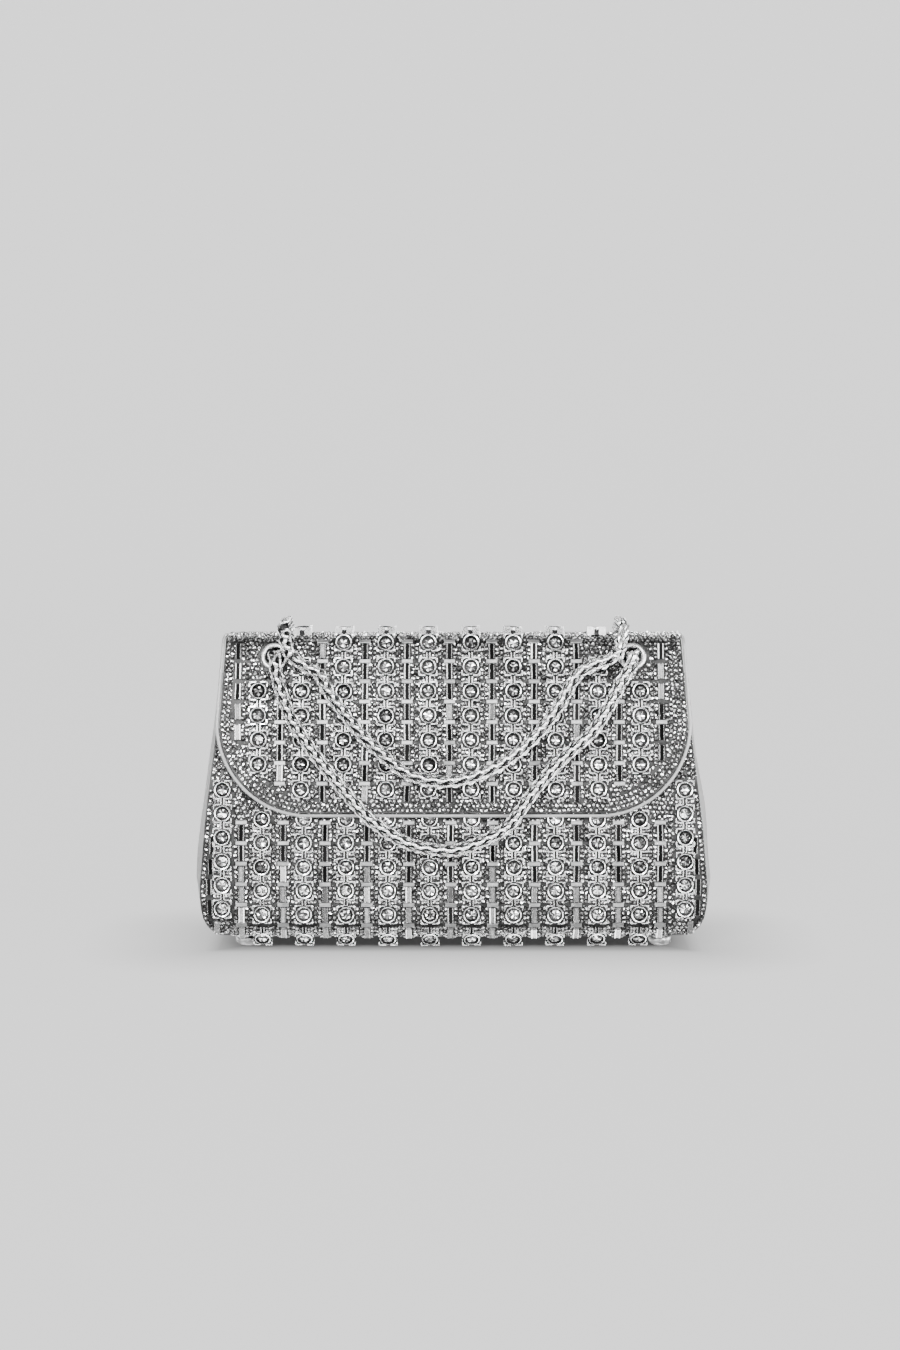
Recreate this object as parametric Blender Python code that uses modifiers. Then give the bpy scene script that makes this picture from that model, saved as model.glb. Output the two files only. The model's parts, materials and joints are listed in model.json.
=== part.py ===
import math

import bpy
import bmesh
from mathutils import Matrix, Vector

MM = 0.001

# Whole bag: x is the width, minus y the front, z up, the floor at zero.
BODY_HALF_WIDTH = 105.5 * MM
BASE_HALF_DEPTH = 30.0 * MM
BASE_LIFT = 4.6 * MM
BOTTOM_RADIUS = 10.0 * MM
BOTTOM_TURN_DEG = 85.0
FLAP_TOP_Z = 130.0 * MM
EDGE_PULL_SHARE = 0.07
GAP = 0.3 * MM

# Shares of the flap's height against shares of the body's half width and half depth.
WIDTH_SHARES = ((0.03, 0.905), (0.05, 0.943), (0.07, 0.967), (0.1, 0.986), (0.14, 0.997), (0.21, 1.0),
                (0.305, 0.99), (0.4, 0.981), (0.5, 0.967), (0.66, 0.943), (0.77, 0.929), (1.0, 0.905))
FRONT_DEPTH_SHARES = ((0.0, 1.0), (0.15, 1.0), (0.31, 0.95), (0.4, 0.897), (0.46, 0.853), (0.54, 0.79),
                      (0.615, 0.717), (0.69, 0.643), (0.77, 0.567), (0.85, 0.473), (0.9, 0.41), (1.0, 0.29))
BACK_DEPTH_SHARES = ((0.0, 1.0), (0.15, 1.0), (0.31, 0.955), (0.46, 0.87), (0.62, 0.75), (0.77, 0.61),
                     (0.8077, 0.58), (1.0, 0.43))

# Layers
SHEET_THICK = 1.4 * MM
PANEL_THICK = 1.5 * MM
LINING_THICK = 0.8 * MM
BOARD_THICK = 1.2 * MM
FRONT_SHEET_TOP_Z = 92.0 * MM
FRONT_PANEL_TOP_Z = 108.0 * MM
POUCH_TOP_Z = 102.0 * MM
SHEET_COLUMNS = 6
FACE_STEP = 12.9 * MM
BACKING_COLUMNS = 4

# Hinge of the flap on the rear seam
HINGE_Z = 105.0 * MM
HINGE_CLEAR = 3.6 * MM
WELT_RADIUS = 1.5 * MM
SEAM_RISE = 1.1 * MM

# Flap
FLAP_STANDOFF = 4.7 * MM
FLAP_HEM_Z = 54.0 * MM
FLAP_CORNER_RADIUS = 34.0 * MM
FLAP_LOW_INSET = 7.3 * MM
FLAP_LOW_HALF_WIDTH = BODY_HALF_WIDTH - FLAP_LOW_INSET
FLAP_TOP_INSET = 9.5 * MM
FLAP_TOP_HALF_WIDTH = BODY_HALF_WIDTH - FLAP_TOP_INSET
FLAP_FACE_TOP_Z = 116.5 * MM
FLAP_FRONT_ARC = 6.0 * MM
FLAP_REAR_ARC = 8.0 * MM
FLAP_FRONT_TILT_DEG = 20.0
FLAP_REAR_TILT_DEG = 10.5
FLAP_BOARD_HEM_LIFT = 5.2 * MM
FLAP_BOARD_MARGIN = 1.2 * MM
PIPING_RADIUS = 0.9 * MM

# Gussets
GUSSET_BOTTOM_Z = 6.6 * MM
GUSSET_TOP_Z = 113.0 * MM
GUSSET_INSET = 4.6 * MM
GUSSET_TUCK = 0.5 * MM
GUSSET_BULGE = 4.0 * MM
GUSSET_THICK = 1.2 * MM
GUSSET_BULGE_SHARES = ((0.0, 0.15), (0.08, 0.7), (0.2, 1.0), (0.5, 0.95), (0.8, 0.7), (1.0, 0.55))

# Base
BASE_END_INSET = 9.0 * MM
BASE_HALF_LENGTH = BODY_HALF_WIDTH - BASE_END_INSET
BASE_SIDE_INSET = 9.8 * MM
BASE_PANEL_HALF_DEPTH = BASE_HALF_DEPTH - BASE_SIDE_INSET
BASE_PANEL_THICK = 1.2 * MM
BASE_BOARD_INSET = 2.5 * MM
BASE_BOARD_HALF_LENGTH = BASE_HALF_LENGTH - BASE_BOARD_INSET
BASE_BOARD_SIDE_INSET = 1.2 * MM
BASE_BOARD_HALF_DEPTH = BASE_PANEL_HALF_DEPTH - BASE_BOARD_SIDE_INSET
BASE_BOARD_THICK = 2.0 * MM
BASE_CORNER = 9.0 * MM

# Feet
FOOT_END_INSET = 7.2 * MM
FOOT_X = BASE_BOARD_HALF_LENGTH - FOOT_END_INSET
FOOT_SIDE_INSET = 5.0 * MM
FOOT_Y = BASE_BOARD_HALF_DEPTH - FOOT_SIDE_INSET
FOOT_RADIUS = 5.0 * MM
FOOT_FLAT_RADIUS = 2.6 * MM
FOOT_SHANK_RADIUS = 1.2 * MM
FOOT_HEIGHT = 4.2 * MM
FOOT_WASHER_RADIUS = 3.2 * MM
FOOT_WASHER_THICK = 0.6 * MM
FOOT_SEGMENTS = 12

# Magnets of the closure
MAGNET_Z = 74.0 * MM
MAGNET_RADIUS = 7.0 * MM
MAGNET_THICK = 1.0 * MM

# Lining pouch and its pocket
POUCH_FLOOR_Z = 9.4 * MM
POUCH_INSET = 3.6 * MM
POUCH_SIDE_INSET = 2.6 * MM
POUCH_FLOOR_INSET = 9.0 * MM
POUCH_POWER_SHARE = 0.36
POUCH_RING = 24
POCKET_HALF_WIDTH = 45.0 * MM
POCKET_LOW_Z = 44.0 * MM
POCKET_TOP_Z = 84.0 * MM
POCKET_THICK = 0.6 * MM

# Mouth binding
BINDING_THICK = 0.5 * MM
BINDING_DROP = 3.0 * MM

# Round claw settings and the columns of baguette stones between them
SETTING_BASE_WIDTH = 6.6 * MM
SETTING_TOP_WIDTH = 5.2 * MM
SETTING_HEIGHT = 2.6 * MM
SETTING_SINK = 0.5 * MM
ROW_PITCH = 10.25 * MM
FLAP_FIRST_ROW = 12.3 * MM
FLAP_COLUMN_INSET = 1.4 * MM
FLAP_COLUMN_PITCH = (FLAP_LOW_HALF_WIDTH - FLAP_COLUMN_INSET) / 5.5
FLAP_COLUMN_SHIFT = -1.7 * MM
BODY_TURN_ROW = 4.1 * MM
BODY_COLUMN_INSET = 9.8 * MM
BODY_COLUMN_PITCH = (BODY_HALF_WIDTH - BODY_COLUMN_INSET) / 5.5
BODY_COLUMN_SHIFT = -1.2 * MM
BODY_OUTER_INSET = 9.5 * MM
BODY_OUTER_COLUMN = BODY_HALF_WIDTH - BODY_OUTER_INSET
BAGUETTE_WIDTH = 2.6 * MM
BAGUETTE_HEIGHT = 0.9 * MM
BORDER_WIDTH = 8.0 * MM

# Eyelets
EYELET_PAST_COLUMN = 4.0 * MM
EYELET_FRONT_X = 4 * FLAP_COLUMN_PITCH + EYELET_PAST_COLUMN
EYELET_FRONT_Z = 121.6 * MM
EYELET_BACK_INSET = 2.0 * MM
EYELET_BACK_X = EYELET_FRONT_X - EYELET_BACK_INSET
EYELET_BACK_Z = 115.5 * MM
EYELET_OUTER_RADIUS = 5.9 * MM
EYELET_HOLE_RADIUS = 3.9 * MM
EYELET_WALL = 0.4 * MM
EYELET_FLANGE = 1.0 * MM
EYELET_SEGMENTS = 16
EYELET_WASHER_THICK = 0.5 * MM
HOLE_CLEAR = 0.3 * MM

# Chain
CHAIN_RADIUS = 2.9 * MM
CHAIN_PITCH = 6.3 * MM
CHAIN_SIDES = 6
CHAIN_RINGS_PER_LINK = 2
CHAIN_WAIST_SHARE = 0.72
CHAIN_END_SHARES = ((-0.88, 0.45), (-0.5, 0.84), (0.0, 0.98))
CHAIN_PIVOT_REACH = 5.6 * MM
CHAIN_STOP = 3.3 * MM
CHAIN_LIE = 3.6 * MM
CHAIN_TOP_INSET = 3.6 * MM
CHAIN_TOP_X = EYELET_FRONT_X - CHAIN_TOP_INSET
CHAIN_FRONT_DROP = 86.0 * MM
CHAIN_REAR_DROP = 66.4 * MM
CHAIN_REAR_PIVOT_DEG = 62.0
CHAIN_INSIDE_REACH = 6.2 * MM
CHAIN_OUTSIDE_REACH = 5.2 * MM

# Hanging loops: share of the pivot's x, share of the loop's drop, from left to right.
FRONT_LOOP_SHARES = ((-1.0, 0.0), (-0.99, 0.075), (-0.985, 0.151), (-0.95, 0.25), (-0.883, 0.372),
                     (-0.78, 0.494), (-0.652, 0.64), (-0.528, 0.763), (-0.387, 0.885), (-0.246, 0.963),
                     (-0.105, 0.998), (0.008, 1.0), (0.148, 0.949), (0.29, 0.849), (0.43, 0.738),
                     (0.556, 0.641), (0.685, 0.529), (0.81, 0.431), (0.895, 0.299), (0.952, 0.177),
                     (0.99, 0.065), (1.0, 0.0))
REAR_LOOP_SHARES = ((-1.0, 0.0), (-0.965, 0.1), (-0.878, 0.246), (-0.777, 0.4), (-0.656, 0.559),
                    (-0.535, 0.748), (-0.414, 0.856), (-0.294, 0.937), (-0.142, 0.988), (0.009, 1.0),
                    (0.158, 0.956), (0.311, 0.874), (0.46, 0.748), (0.583, 0.622), (0.705, 0.432),
                    (0.794, 0.276), (0.885, 0.149), (0.965, 0.06), (1.0, 0.0))

COLOURS = {
    "silver": ((0.72, 0.72, 0.73, 1.0), 1.0, 0.18),
    "leather": ((0.62, 0.62, 0.63, 1.0), 0.6, 0.4),
    "stones": ((0.5, 0.5, 0.52, 1.0), 0.5, 0.15),
    "lining": ((0.16, 0.16, 0.17, 1.0), 0.0, 0.8),
    "board": ((0.35, 0.34, 0.33, 1.0), 0.0, 0.9),
}


# Start from an empty file, then make the bag's own collections.

for old in list(bpy.data.objects):
    bpy.data.objects.remove(old, do_unlink=True)

bag = bpy.data.collections.new("rhinestone_evening_bag")
tools = bpy.data.collections.new("bag_cutters")
bpy.context.scene.collection.children.link(bag)
bpy.context.scene.collection.children.link(tools)


def empty(name, place, parent=None):
    made = bpy.data.objects.new(name, None)
    bag.objects.link(made)
    made.parent = parent
    made.location = place
    return made


def finish(name, colour, bm, carrier, smooth=False, origin=None):
    """Put a bmesh made in bag coordinates under its carrier, with its own material."""
    bmesh.ops.remove_doubles(bm, verts=bm.verts[:], dist=0.00001)
    middle = Vector(origin) if origin else Vector(carrier.location)
    bmesh.ops.translate(bm, verts=bm.verts[:], vec=-middle)
    mesh = bpy.data.meshes.new(name)
    bm.to_mesh(mesh)
    bm.free()
    for face in mesh.polygons:
        face.use_smooth = smooth
    made = bpy.data.objects.new(name, mesh)
    bag.objects.link(made)
    made.parent = carrier
    made.location = middle - Vector(carrier.location)
    tone, metallic, rough = COLOURS[colour]
    mat = bpy.data.materials.new(name + "_finish")
    mat.use_nodes = True
    shader = mat.node_tree.nodes["Principled BSDF"]
    shader.inputs["Base Color"].default_value = tone
    shader.inputs["Metallic"].default_value = metallic
    shader.inputs["Roughness"].default_value = rough
    mesh.materials.append(mat)
    return made


def cutter(name, bm, carrier):
    """A tool shape for Boolean modifiers, kept out of the bag's own collection."""
    bmesh.ops.translate(bm, verts=bm.verts[:], vec=-Vector(carrier.location))
    mesh = bpy.data.meshes.new(name)
    bm.to_mesh(mesh)
    bm.free()
    made = bpy.data.objects.new(name, mesh)
    tools.objects.link(made)
    made.parent = carrier
    made.hide_render = True
    made.display_type = "WIRE"
    return made


def solidify(thing, thickness):
    mod = thing.modifiers.new("wall", "SOLIDIFY")
    mod.thickness = thickness
    mod.offset = -1.0
    mod.use_even_offset = True


def boolean(thing, tool, operation):
    mod = thing.modifiers.new(operation.lower(), "BOOLEAN")
    mod.operation = operation
    mod.solver = "EXACT"
    mod.object = tool


# Shape of the body: how wide and how deep it is at each height.

def read_shares(table, share):
    if share <= table[0][0]:
        return table[0][1]
    for (low, a), (high, b) in zip(table, table[1:]):
        if share <= high:
            return a + (b - a) * (share - low) / (high - low)
    return table[-1][1]


def body_half_width(z):
    return BODY_HALF_WIDTH * read_shares(WIDTH_SHARES, z / FLAP_TOP_Z)


def body_depth(shares, z):
    return BASE_HALF_DEPTH * read_shares(shares, z / FLAP_TOP_Z)


def inner_depth(shares, z, inset):
    """Half depth at a height, with the rounded bottom edge taken in."""
    turn_z = BASE_LIFT + BOTTOM_RADIUS
    if z >= turn_z:
        return body_depth(shares, z) - inset
    reach = (BOTTOM_RADIUS - inset) ** 2 - (turn_z - z) ** 2
    return BASE_HALF_DEPTH - BOTTOM_RADIUS + math.sqrt(max(reach, 0.0))


def pull_in(x, y, z):
    """The faces fall back a little towards the sides, less so near the top."""
    fade = max(0.0, 1.0 - z / HINGE_Z)
    return y * (1.0 - EDGE_PULL_SHARE * (x / BODY_HALF_WIDTH) ** 2 * fade)


def on_body(x, y, z):
    return Vector((x, pull_in(x, y, z), z))


def face_line(shares, side, inset, top_z):
    """Points (y, z) up a face from the bottom turn to top_z, inset from the outer surface."""
    turn_z = BASE_LIFT + BOTTOM_RADIUS
    line = []
    for i in range(5):
        a = math.radians(BOTTOM_TURN_DEG) * (1.0 - i / 5)
        reach = BOTTOM_RADIUS - inset
        line.append((side * (BASE_HALF_DEPTH - BOTTOM_RADIUS + reach * math.cos(a)),
                     turn_z - reach * math.sin(a)))
    z = turn_z
    while z < top_z - FACE_STEP / 4:
        line.append((side * (body_depth(shares, z) - inset), z))
        z += FACE_STEP
    line.append((side * (body_depth(shares, top_z) - inset), top_z))
    return line


def offset_line(line, inset):
    """Move a line of (y, z) points to the right of its direction, which is into the flap."""
    moved = []
    for i, point in enumerate(line):
        before = Vector(line[max(i - 1, 0)])
        after = Vector(line[min(i + 1, len(line) - 1)])
        here = Vector(point)
        sides = []
        for a, b in ((before, here), (here, after)):
            if (b - a).length > 0.0:
                d = (b - a).normalized()
                sides.append(Vector((d.y, -d.x)))
        mean = sum(sides, Vector((0.0, 0.0))).normalized()
        stretch = 1.0 / max(mean.dot(sides[0]), 0.5)
        spot = here - mean * inset * stretch
        moved.append((spot.x, spot.y))
    return moved


def grid(rows, columns):
    """A sheet through rows of (y, z, half width), with its face on the left of the rows' direction."""
    bm = bmesh.new()
    made = []
    for y, z, half in rows:
        xs = [half * (2.0 * c / columns - 1.0) for c in range(columns + 1)]
        made.append([bm.verts.new(on_body(x, y, z)) for x in xs])
    for low, high in zip(made, made[1:]):
        for c in range(columns):
            bm.faces.new((low[c], low[c + 1], high[c + 1], high[c]))
    return bm


def line_length(line):
    return sum((Vector(b) - Vector(a)).length for a, b in zip(line, line[1:]))


def along(line, distance):
    """Point and direction at a distance from the start of a line of (y, z) points."""
    for a, b in zip(line, line[1:]):
        step = Vector(b) - Vector(a)
        if distance <= step.length:
            return Vector(a) + step.normalized() * distance, step.normalized()
        distance -= step.length
    step = (Vector(line[-1]) - Vector(line[-2])).normalized()
    return Vector(line[-1]) + step * distance, step


def at_height(line, z):
    """Point and direction where a line of (y, z) points first passes a height."""
    for a, b in zip(line, line[1:]):
        if min(a[1], b[1]) <= z <= max(a[1], b[1]):
            share = (z - a[1]) / (b[1] - a[1])
            return Vector(a).lerp(Vector(b), share), (Vector(b) - Vector(a)).normalized()
    return Vector(line[-1]), (Vector(line[-1]) - Vector(line[-2])).normalized()


def stand_on(x, point, direction, outward):
    """A matrix whose z axis leaves the surface at x, with y along the line."""
    up = Vector((0.0, direction.x, direction.y))
    out = outward * Vector((0.0, direction.y, -direction.x))
    side = up.cross(out).normalized()
    place = on_body(x, point.x, point.y)
    turn = Matrix((side, up, out)).transposed().to_4x4()
    return Matrix.Translation(place) @ turn


# Small shapes

def add_stud(bm, matrix):
    """One claw setting: a low square block that narrows upwards."""
    levels = []
    for h, width in ((-SETTING_SINK, SETTING_BASE_WIDTH), (SETTING_HEIGHT, SETTING_TOP_WIDTH)):
        half = width / 2
        ring = ((-half, -half), (half, -half), (half, half), (-half, half))
        levels.append([bm.verts.new(matrix @ Vector((x, y, h))) for x, y in ring])
    low, high = levels
    bm.faces.new(list(reversed(low)))
    bm.faces.new(high)
    for i in range(4):
        j = (i + 1) % 4
        bm.faces.new((low[i], low[j], high[j], high[i]))


def add_rib(bm, stations):
    """One column of baguettes: a low bar along the given surface matrices."""
    half = BAGUETTE_WIDTH / 2
    ring = ((-half, -SETTING_SINK), (half, -SETTING_SINK), (half, BAGUETTE_HEIGHT), (-half, BAGUETTE_HEIGHT))
    made = [[bm.verts.new(m @ Vector((x, 0.0, h))) for x, h in ring] for m in stations]
    for low, high in zip(made, made[1:]):
        for i in range(4):
            j = (i + 1) % 4
            bm.faces.new((low[i], low[j], high[j], high[i]))
    bm.faces.new(list(reversed(made[0])))
    bm.faces.new(made[-1])


def lathe(profile, segments, matrix=None):
    """Turn a closed or axis to axis profile of (radius, height) about z."""
    bm = bmesh.new()
    verts = [bm.verts.new((r, 0.0, h)) for r, h in profile]
    edges = [bm.edges.new((a, b)) for a, b in zip(verts, verts[1:])]
    if profile[0][0] > 0.0:
        edges.append(bm.edges.new((verts[-1], verts[0])))
    bmesh.ops.spin(bm, geom=verts + edges, axis=(0, 0, 1), cent=(0, 0, 0), steps=segments,
                   angle=2 * math.pi, use_merge=True)
    bmesh.ops.remove_doubles(bm, verts=bm.verts[:], dist=0.00001)
    bmesh.ops.recalc_face_normals(bm, faces=bm.faces[:])
    if matrix:
        bmesh.ops.transform(bm, matrix=matrix, verts=bm.verts[:])
    return bm


def add_tube(bm, path, radii, sides, turn):
    """Sweep rings along a path and close both ends."""
    path = [Vector(p) for p in path]
    ahead = (path[1] - path[0]).normalized()
    across = ahead.orthogonal().normalized()
    rings = []
    for i, point in enumerate(path):
        before = path[max(i - 1, 0)]
        after = path[min(i + 1, len(path) - 1)]
        new_ahead = (after - before).normalized()
        across = (across - new_ahead * across.dot(new_ahead)).normalized()
        up = new_ahead.cross(across)
        ring = []
        for k in range(sides):
            a = 2 * math.pi * k / sides + turn * i
            ring.append(bm.verts.new(point + (across * math.cos(a) + up * math.sin(a)) * radii[i]))
        rings.append(ring)
    for low, high in zip(rings, rings[1:]):
        for k in range(sides):
            j = (k + 1) % sides
            bm.faces.new((low[k], low[j], high[j], high[k]))
    bm.faces.new(list(reversed(rings[0])))
    bm.faces.new(rings[-1])


def smooth_path(points, spacing):
    """Even points on a smooth curve through the given points."""
    pts = [Vector(p) for p in points]
    dense = []
    for i in range(len(pts) - 1):
        a = pts[max(i - 1, 0)]
        b = pts[i]
        c = pts[i + 1]
        d = pts[min(i + 2, len(pts) - 1)]
        for k in range(12):
            t = k / 12
            dense.append(0.5 * ((2 * b) + (c - a) * t + (2 * a - 5 * b + 4 * c - d) * t ** 2
                                + (3 * b - a - 3 * c + d) * t ** 3))
    dense.append(pts[-1])
    total = sum((q - p).length for p, q in zip(dense, dense[1:]))
    count = max(int(round(total / spacing)), 2)
    even = [dense[0]]
    walked = 0.0
    for p, q in zip(dense, dense[1:]):
        step = (q - p).length
        while len(even) < count and walked + step >= total * len(even) / count:
            even.append(p.lerp(q, (total * len(even) / count - walked) / step))
        walked += step
    even.append(dense[-1])
    return even


def chain(name, points, carrier, origin=None):
    """A length of chain as one fused body of linked swellings with rounded ends."""
    path = smooth_path(points, CHAIN_PITCH / CHAIN_RINGS_PER_LINK)
    radii = []
    for i in range(len(path)):
        waist = i % CHAIN_RINGS_PER_LINK == 0
        radii.append(CHAIN_RADIUS * (CHAIN_WAIST_SHARE if waist else 1.0))
    first = (path[1] - path[0]).normalized()
    last = (path[-1] - path[-2]).normalized()
    head = [path[0] + first * CHAIN_RADIUS * a for a, r in CHAIN_END_SHARES]
    tail = [path[-1] - last * CHAIN_RADIUS * a for a, r in reversed(CHAIN_END_SHARES)]
    ends = [CHAIN_RADIUS * r for a, r in CHAIN_END_SHARES]
    bm = bmesh.new()
    add_tube(bm, head + path[1:-1] + tail, ends + radii[1:-1] + ends[::-1], CHAIN_SIDES,
             math.pi / CHAIN_SIDES)
    return finish(name, "silver", bm, carrier, smooth=True, origin=origin)


# Carriers: the bag's own origin, and an empty on each joint's axis.

hinge_y = body_depth(BACK_DEPTH_SHARES, HINGE_Z) - (SHEET_THICK + BOARD_THICK + LINING_THICK + 2 * GAP) / 2
root = empty("bag_origin", (0.0, 0.0, 0.0))
flap = empty("flap_hinge_axis", (0.0, hinge_y, HINGE_Z), root)


# Lines of the flap's outer surface, from the rear seam over the top to the hem.

def flap_half_width(z):
    low = FLAP_HEM_Z + FLAP_CORNER_RADIUS
    share = min(max((z - low) / (FLAP_TOP_Z - low), 0.0), 1.0)
    half = FLAP_LOW_HALF_WIDTH + (FLAP_TOP_HALF_WIDTH - FLAP_LOW_HALF_WIDTH) * share
    drop = max(low - z, 0.0)
    round_off = FLAP_CORNER_RADIUS - math.sqrt(max(FLAP_CORNER_RADIUS ** 2 - drop ** 2, 0.0))
    return half - round_off


def flap_face_y(z):
    return -(body_depth(FRONT_DEPTH_SHARES, z) + FLAP_STANDOFF)


def flap_line(hem_lift=0.0):
    rear = math.radians(FLAP_REAR_TILT_DEG)
    front = math.radians(FLAP_FRONT_TILT_DEG)
    seam_y = body_depth(BACK_DEPTH_SHARES, HINGE_Z)
    seam_z = HINGE_Z + WELT_RADIUS + SEAM_RISE
    rise_z = FLAP_TOP_Z - FLAP_REAR_ARC * (1.0 - math.sin(rear))
    rise_y = seam_y - (rise_z - seam_z) * math.tan(rear)
    line = [(seam_y, seam_z), (rise_y, rise_z)]
    mid_y = rise_y - FLAP_REAR_ARC * math.cos(rear)
    for i in range(1, 6):
        a = rear + (math.pi / 2 - rear) * i / 5
        line.append((mid_y + FLAP_REAR_ARC * math.cos(a), FLAP_TOP_Z - FLAP_REAR_ARC * (1.0 - math.sin(a))))
    drop_z = FLAP_TOP_Z - FLAP_FRONT_ARC * (1.0 - math.sin(front))
    drop_y = flap_face_y(FLAP_FACE_TOP_Z) + (drop_z - FLAP_FACE_TOP_Z) * math.tan(front)
    mid_y = drop_y + FLAP_FRONT_ARC * math.cos(front)
    for i in range(6):
        a = math.pi / 2 - (math.pi / 2 - front) * i / 5
        line.append((mid_y - FLAP_FRONT_ARC * math.cos(a), FLAP_TOP_Z - FLAP_FRONT_ARC * (1.0 - math.sin(a))))
    hem_z = FLAP_HEM_Z + hem_lift
    corner_z = FLAP_HEM_Z + FLAP_CORNER_RADIUS
    for i in range(3):
        z = FLAP_FACE_TOP_Z + (corner_z - FLAP_FACE_TOP_Z) * i / 3
        line.append((flap_face_y(z), z))
    for i in range(7):
        z = corner_z - (corner_z - hem_z) * math.sin(math.pi / 2 * i / 6)
        line.append((flap_face_y(z), z))
    return line


def flap_rows(inset, margin, hem_lift):
    """Rows of the flap for one layer, with the lower corners rounded."""
    line = flap_line(hem_lift)
    rows = []
    for (y, z), (oy, oz) in zip(offset_line(line, inset), line):
        low = FLAP_HEM_Z + FLAP_CORNER_RADIUS
        if oy < 0.0 and oz < low:
            hem_z = FLAP_HEM_Z + hem_lift
            share = (low - oz) / (low - hem_z)
            flat = flap_half_width(low) - FLAP_CORNER_RADIUS
            half = flat + FLAP_CORNER_RADIUS * math.sqrt(max(1.0 - share ** 2, 0.0))
        else:
            half = flap_half_width(oz)
        rows.append((y, z, half - margin))
    return rows


outer_line = flap_line()
hem_line = list(reversed(outer_line))


# Body: panels, sheets, gussets and base

def body_rows(shares, side, inset, top_z, margin):
    line = face_line(shares, side, inset, top_z)
    return [(y, z, body_half_width(z) - margin) for y, z in line]


def face_sheet(name, colour, shares, side, inset, thick, top_z, margin):
    rows = body_rows(shares, side, inset, top_z, margin)
    if side > 0:
        rows.reverse()
    bm = grid(rows, SHEET_COLUMNS)
    made = finish(name, colour, bm, root)
    solidify(made, thick)
    return made


panel_inset = SHEET_THICK + GAP
back_top = HINGE_Z - HINGE_CLEAR
front_panel = face_sheet("front_panel", "leather", FRONT_DEPTH_SHARES, -1, panel_inset, PANEL_THICK,
                         FRONT_PANEL_TOP_Z, FLAP_BOARD_MARGIN)
back_panel = face_sheet("back_panel", "leather", BACK_DEPTH_SHARES, 1, panel_inset, PANEL_THICK,
                        back_top, FLAP_BOARD_MARGIN)
front_sheet = face_sheet("front_crystal_sheet", "stones", FRONT_DEPTH_SHARES, -1, 0.0, SHEET_THICK,
                         FRONT_SHEET_TOP_Z, 0.0)
back_sheet = face_sheet("back_crystal_sheet", "stones", BACK_DEPTH_SHARES, 1, 0.0, SHEET_THICK,
                        back_top, 0.0)


def gusset(name, side):
    bm = bmesh.new()
    rings = []
    levels = (0.0, 0.025, 0.05, 0.08, 0.15, 0.3, 0.5, 0.75, 1.0)
    for share in levels:
        z = GUSSET_BOTTOM_Z + (GUSSET_TOP_Z - GUSSET_BOTTOM_Z) * share
        front = pull_in(BODY_HALF_WIDTH, -inner_depth(FRONT_DEPTH_SHARES, z, GUSSET_INSET), z)
        back = pull_in(BODY_HALF_WIDTH, inner_depth(BACK_DEPTH_SHARES, z, GUSSET_INSET), z)
        bulge = GUSSET_BULGE * read_shares(GUSSET_BULGE_SHARES, share)
        ring = []
        for i in range(7):
            t = i / 3 - 1.0
            y = (front + back) / 2 + t * (back - front) / 2
            x = body_half_width(z) - GUSSET_TUCK + bulge * (1.0 - t * t)
            ring.append(bm.verts.new((side * x, y, z)))
        rings.append(ring)
    for low, high in zip(rings, rings[1:]):
        for i in range(6):
            loop = (low[i], low[i + 1], high[i + 1], high[i])
            bm.faces.new(loop if side > 0 else tuple(reversed(loop)))
    made = finish(name, "leather", bm, root, smooth=True)
    solidify(made, GUSSET_THICK)


gusset("gusset_left", -1)
gusset("gusset_right", 1)


def plate(name, colour, half_length, half_depth, low_z, thick):
    """A flat plate with rounded corners whose long sides follow the faces' slight bow."""
    bm = bmesh.new()
    ring = []
    for sx, sy, start in ((1, 1, 0.0), (-1, 1, 90.0), (-1, -1, 180.0), (1, -1, 270.0)):
        for i in range(3):
            a = math.radians(start + 45.0 * i)
            x = sx * (half_length - BASE_CORNER) + BASE_CORNER * math.cos(a)
            y = sy * (half_depth - BASE_CORNER) + BASE_CORNER * math.sin(a)
            ring.append(bm.verts.new(on_body(x, y, low_z + thick)))
        if sx == sy:
            for share in (0.5, 0.0, -0.5):
                x = sx * share * half_length
                ring.append(bm.verts.new(on_body(x, sy * half_depth, low_z + thick)))
    bm.faces.new(ring)
    made = finish(name, colour, bm, root)
    solidify(made, thick)
    return made


base_top = BASE_LIFT + BASE_PANEL_THICK
board_top = base_top + GAP + BASE_BOARD_THICK
base_panel = plate("base_panel", "leather", BASE_HALF_LENGTH, BASE_PANEL_HALF_DEPTH, BASE_LIFT,
                   BASE_PANEL_THICK)
base_board = plate("base_board", "board", BASE_BOARD_HALF_LENGTH, BASE_BOARD_HALF_DEPTH, base_top + GAP,
                   BASE_BOARD_THICK)

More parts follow.
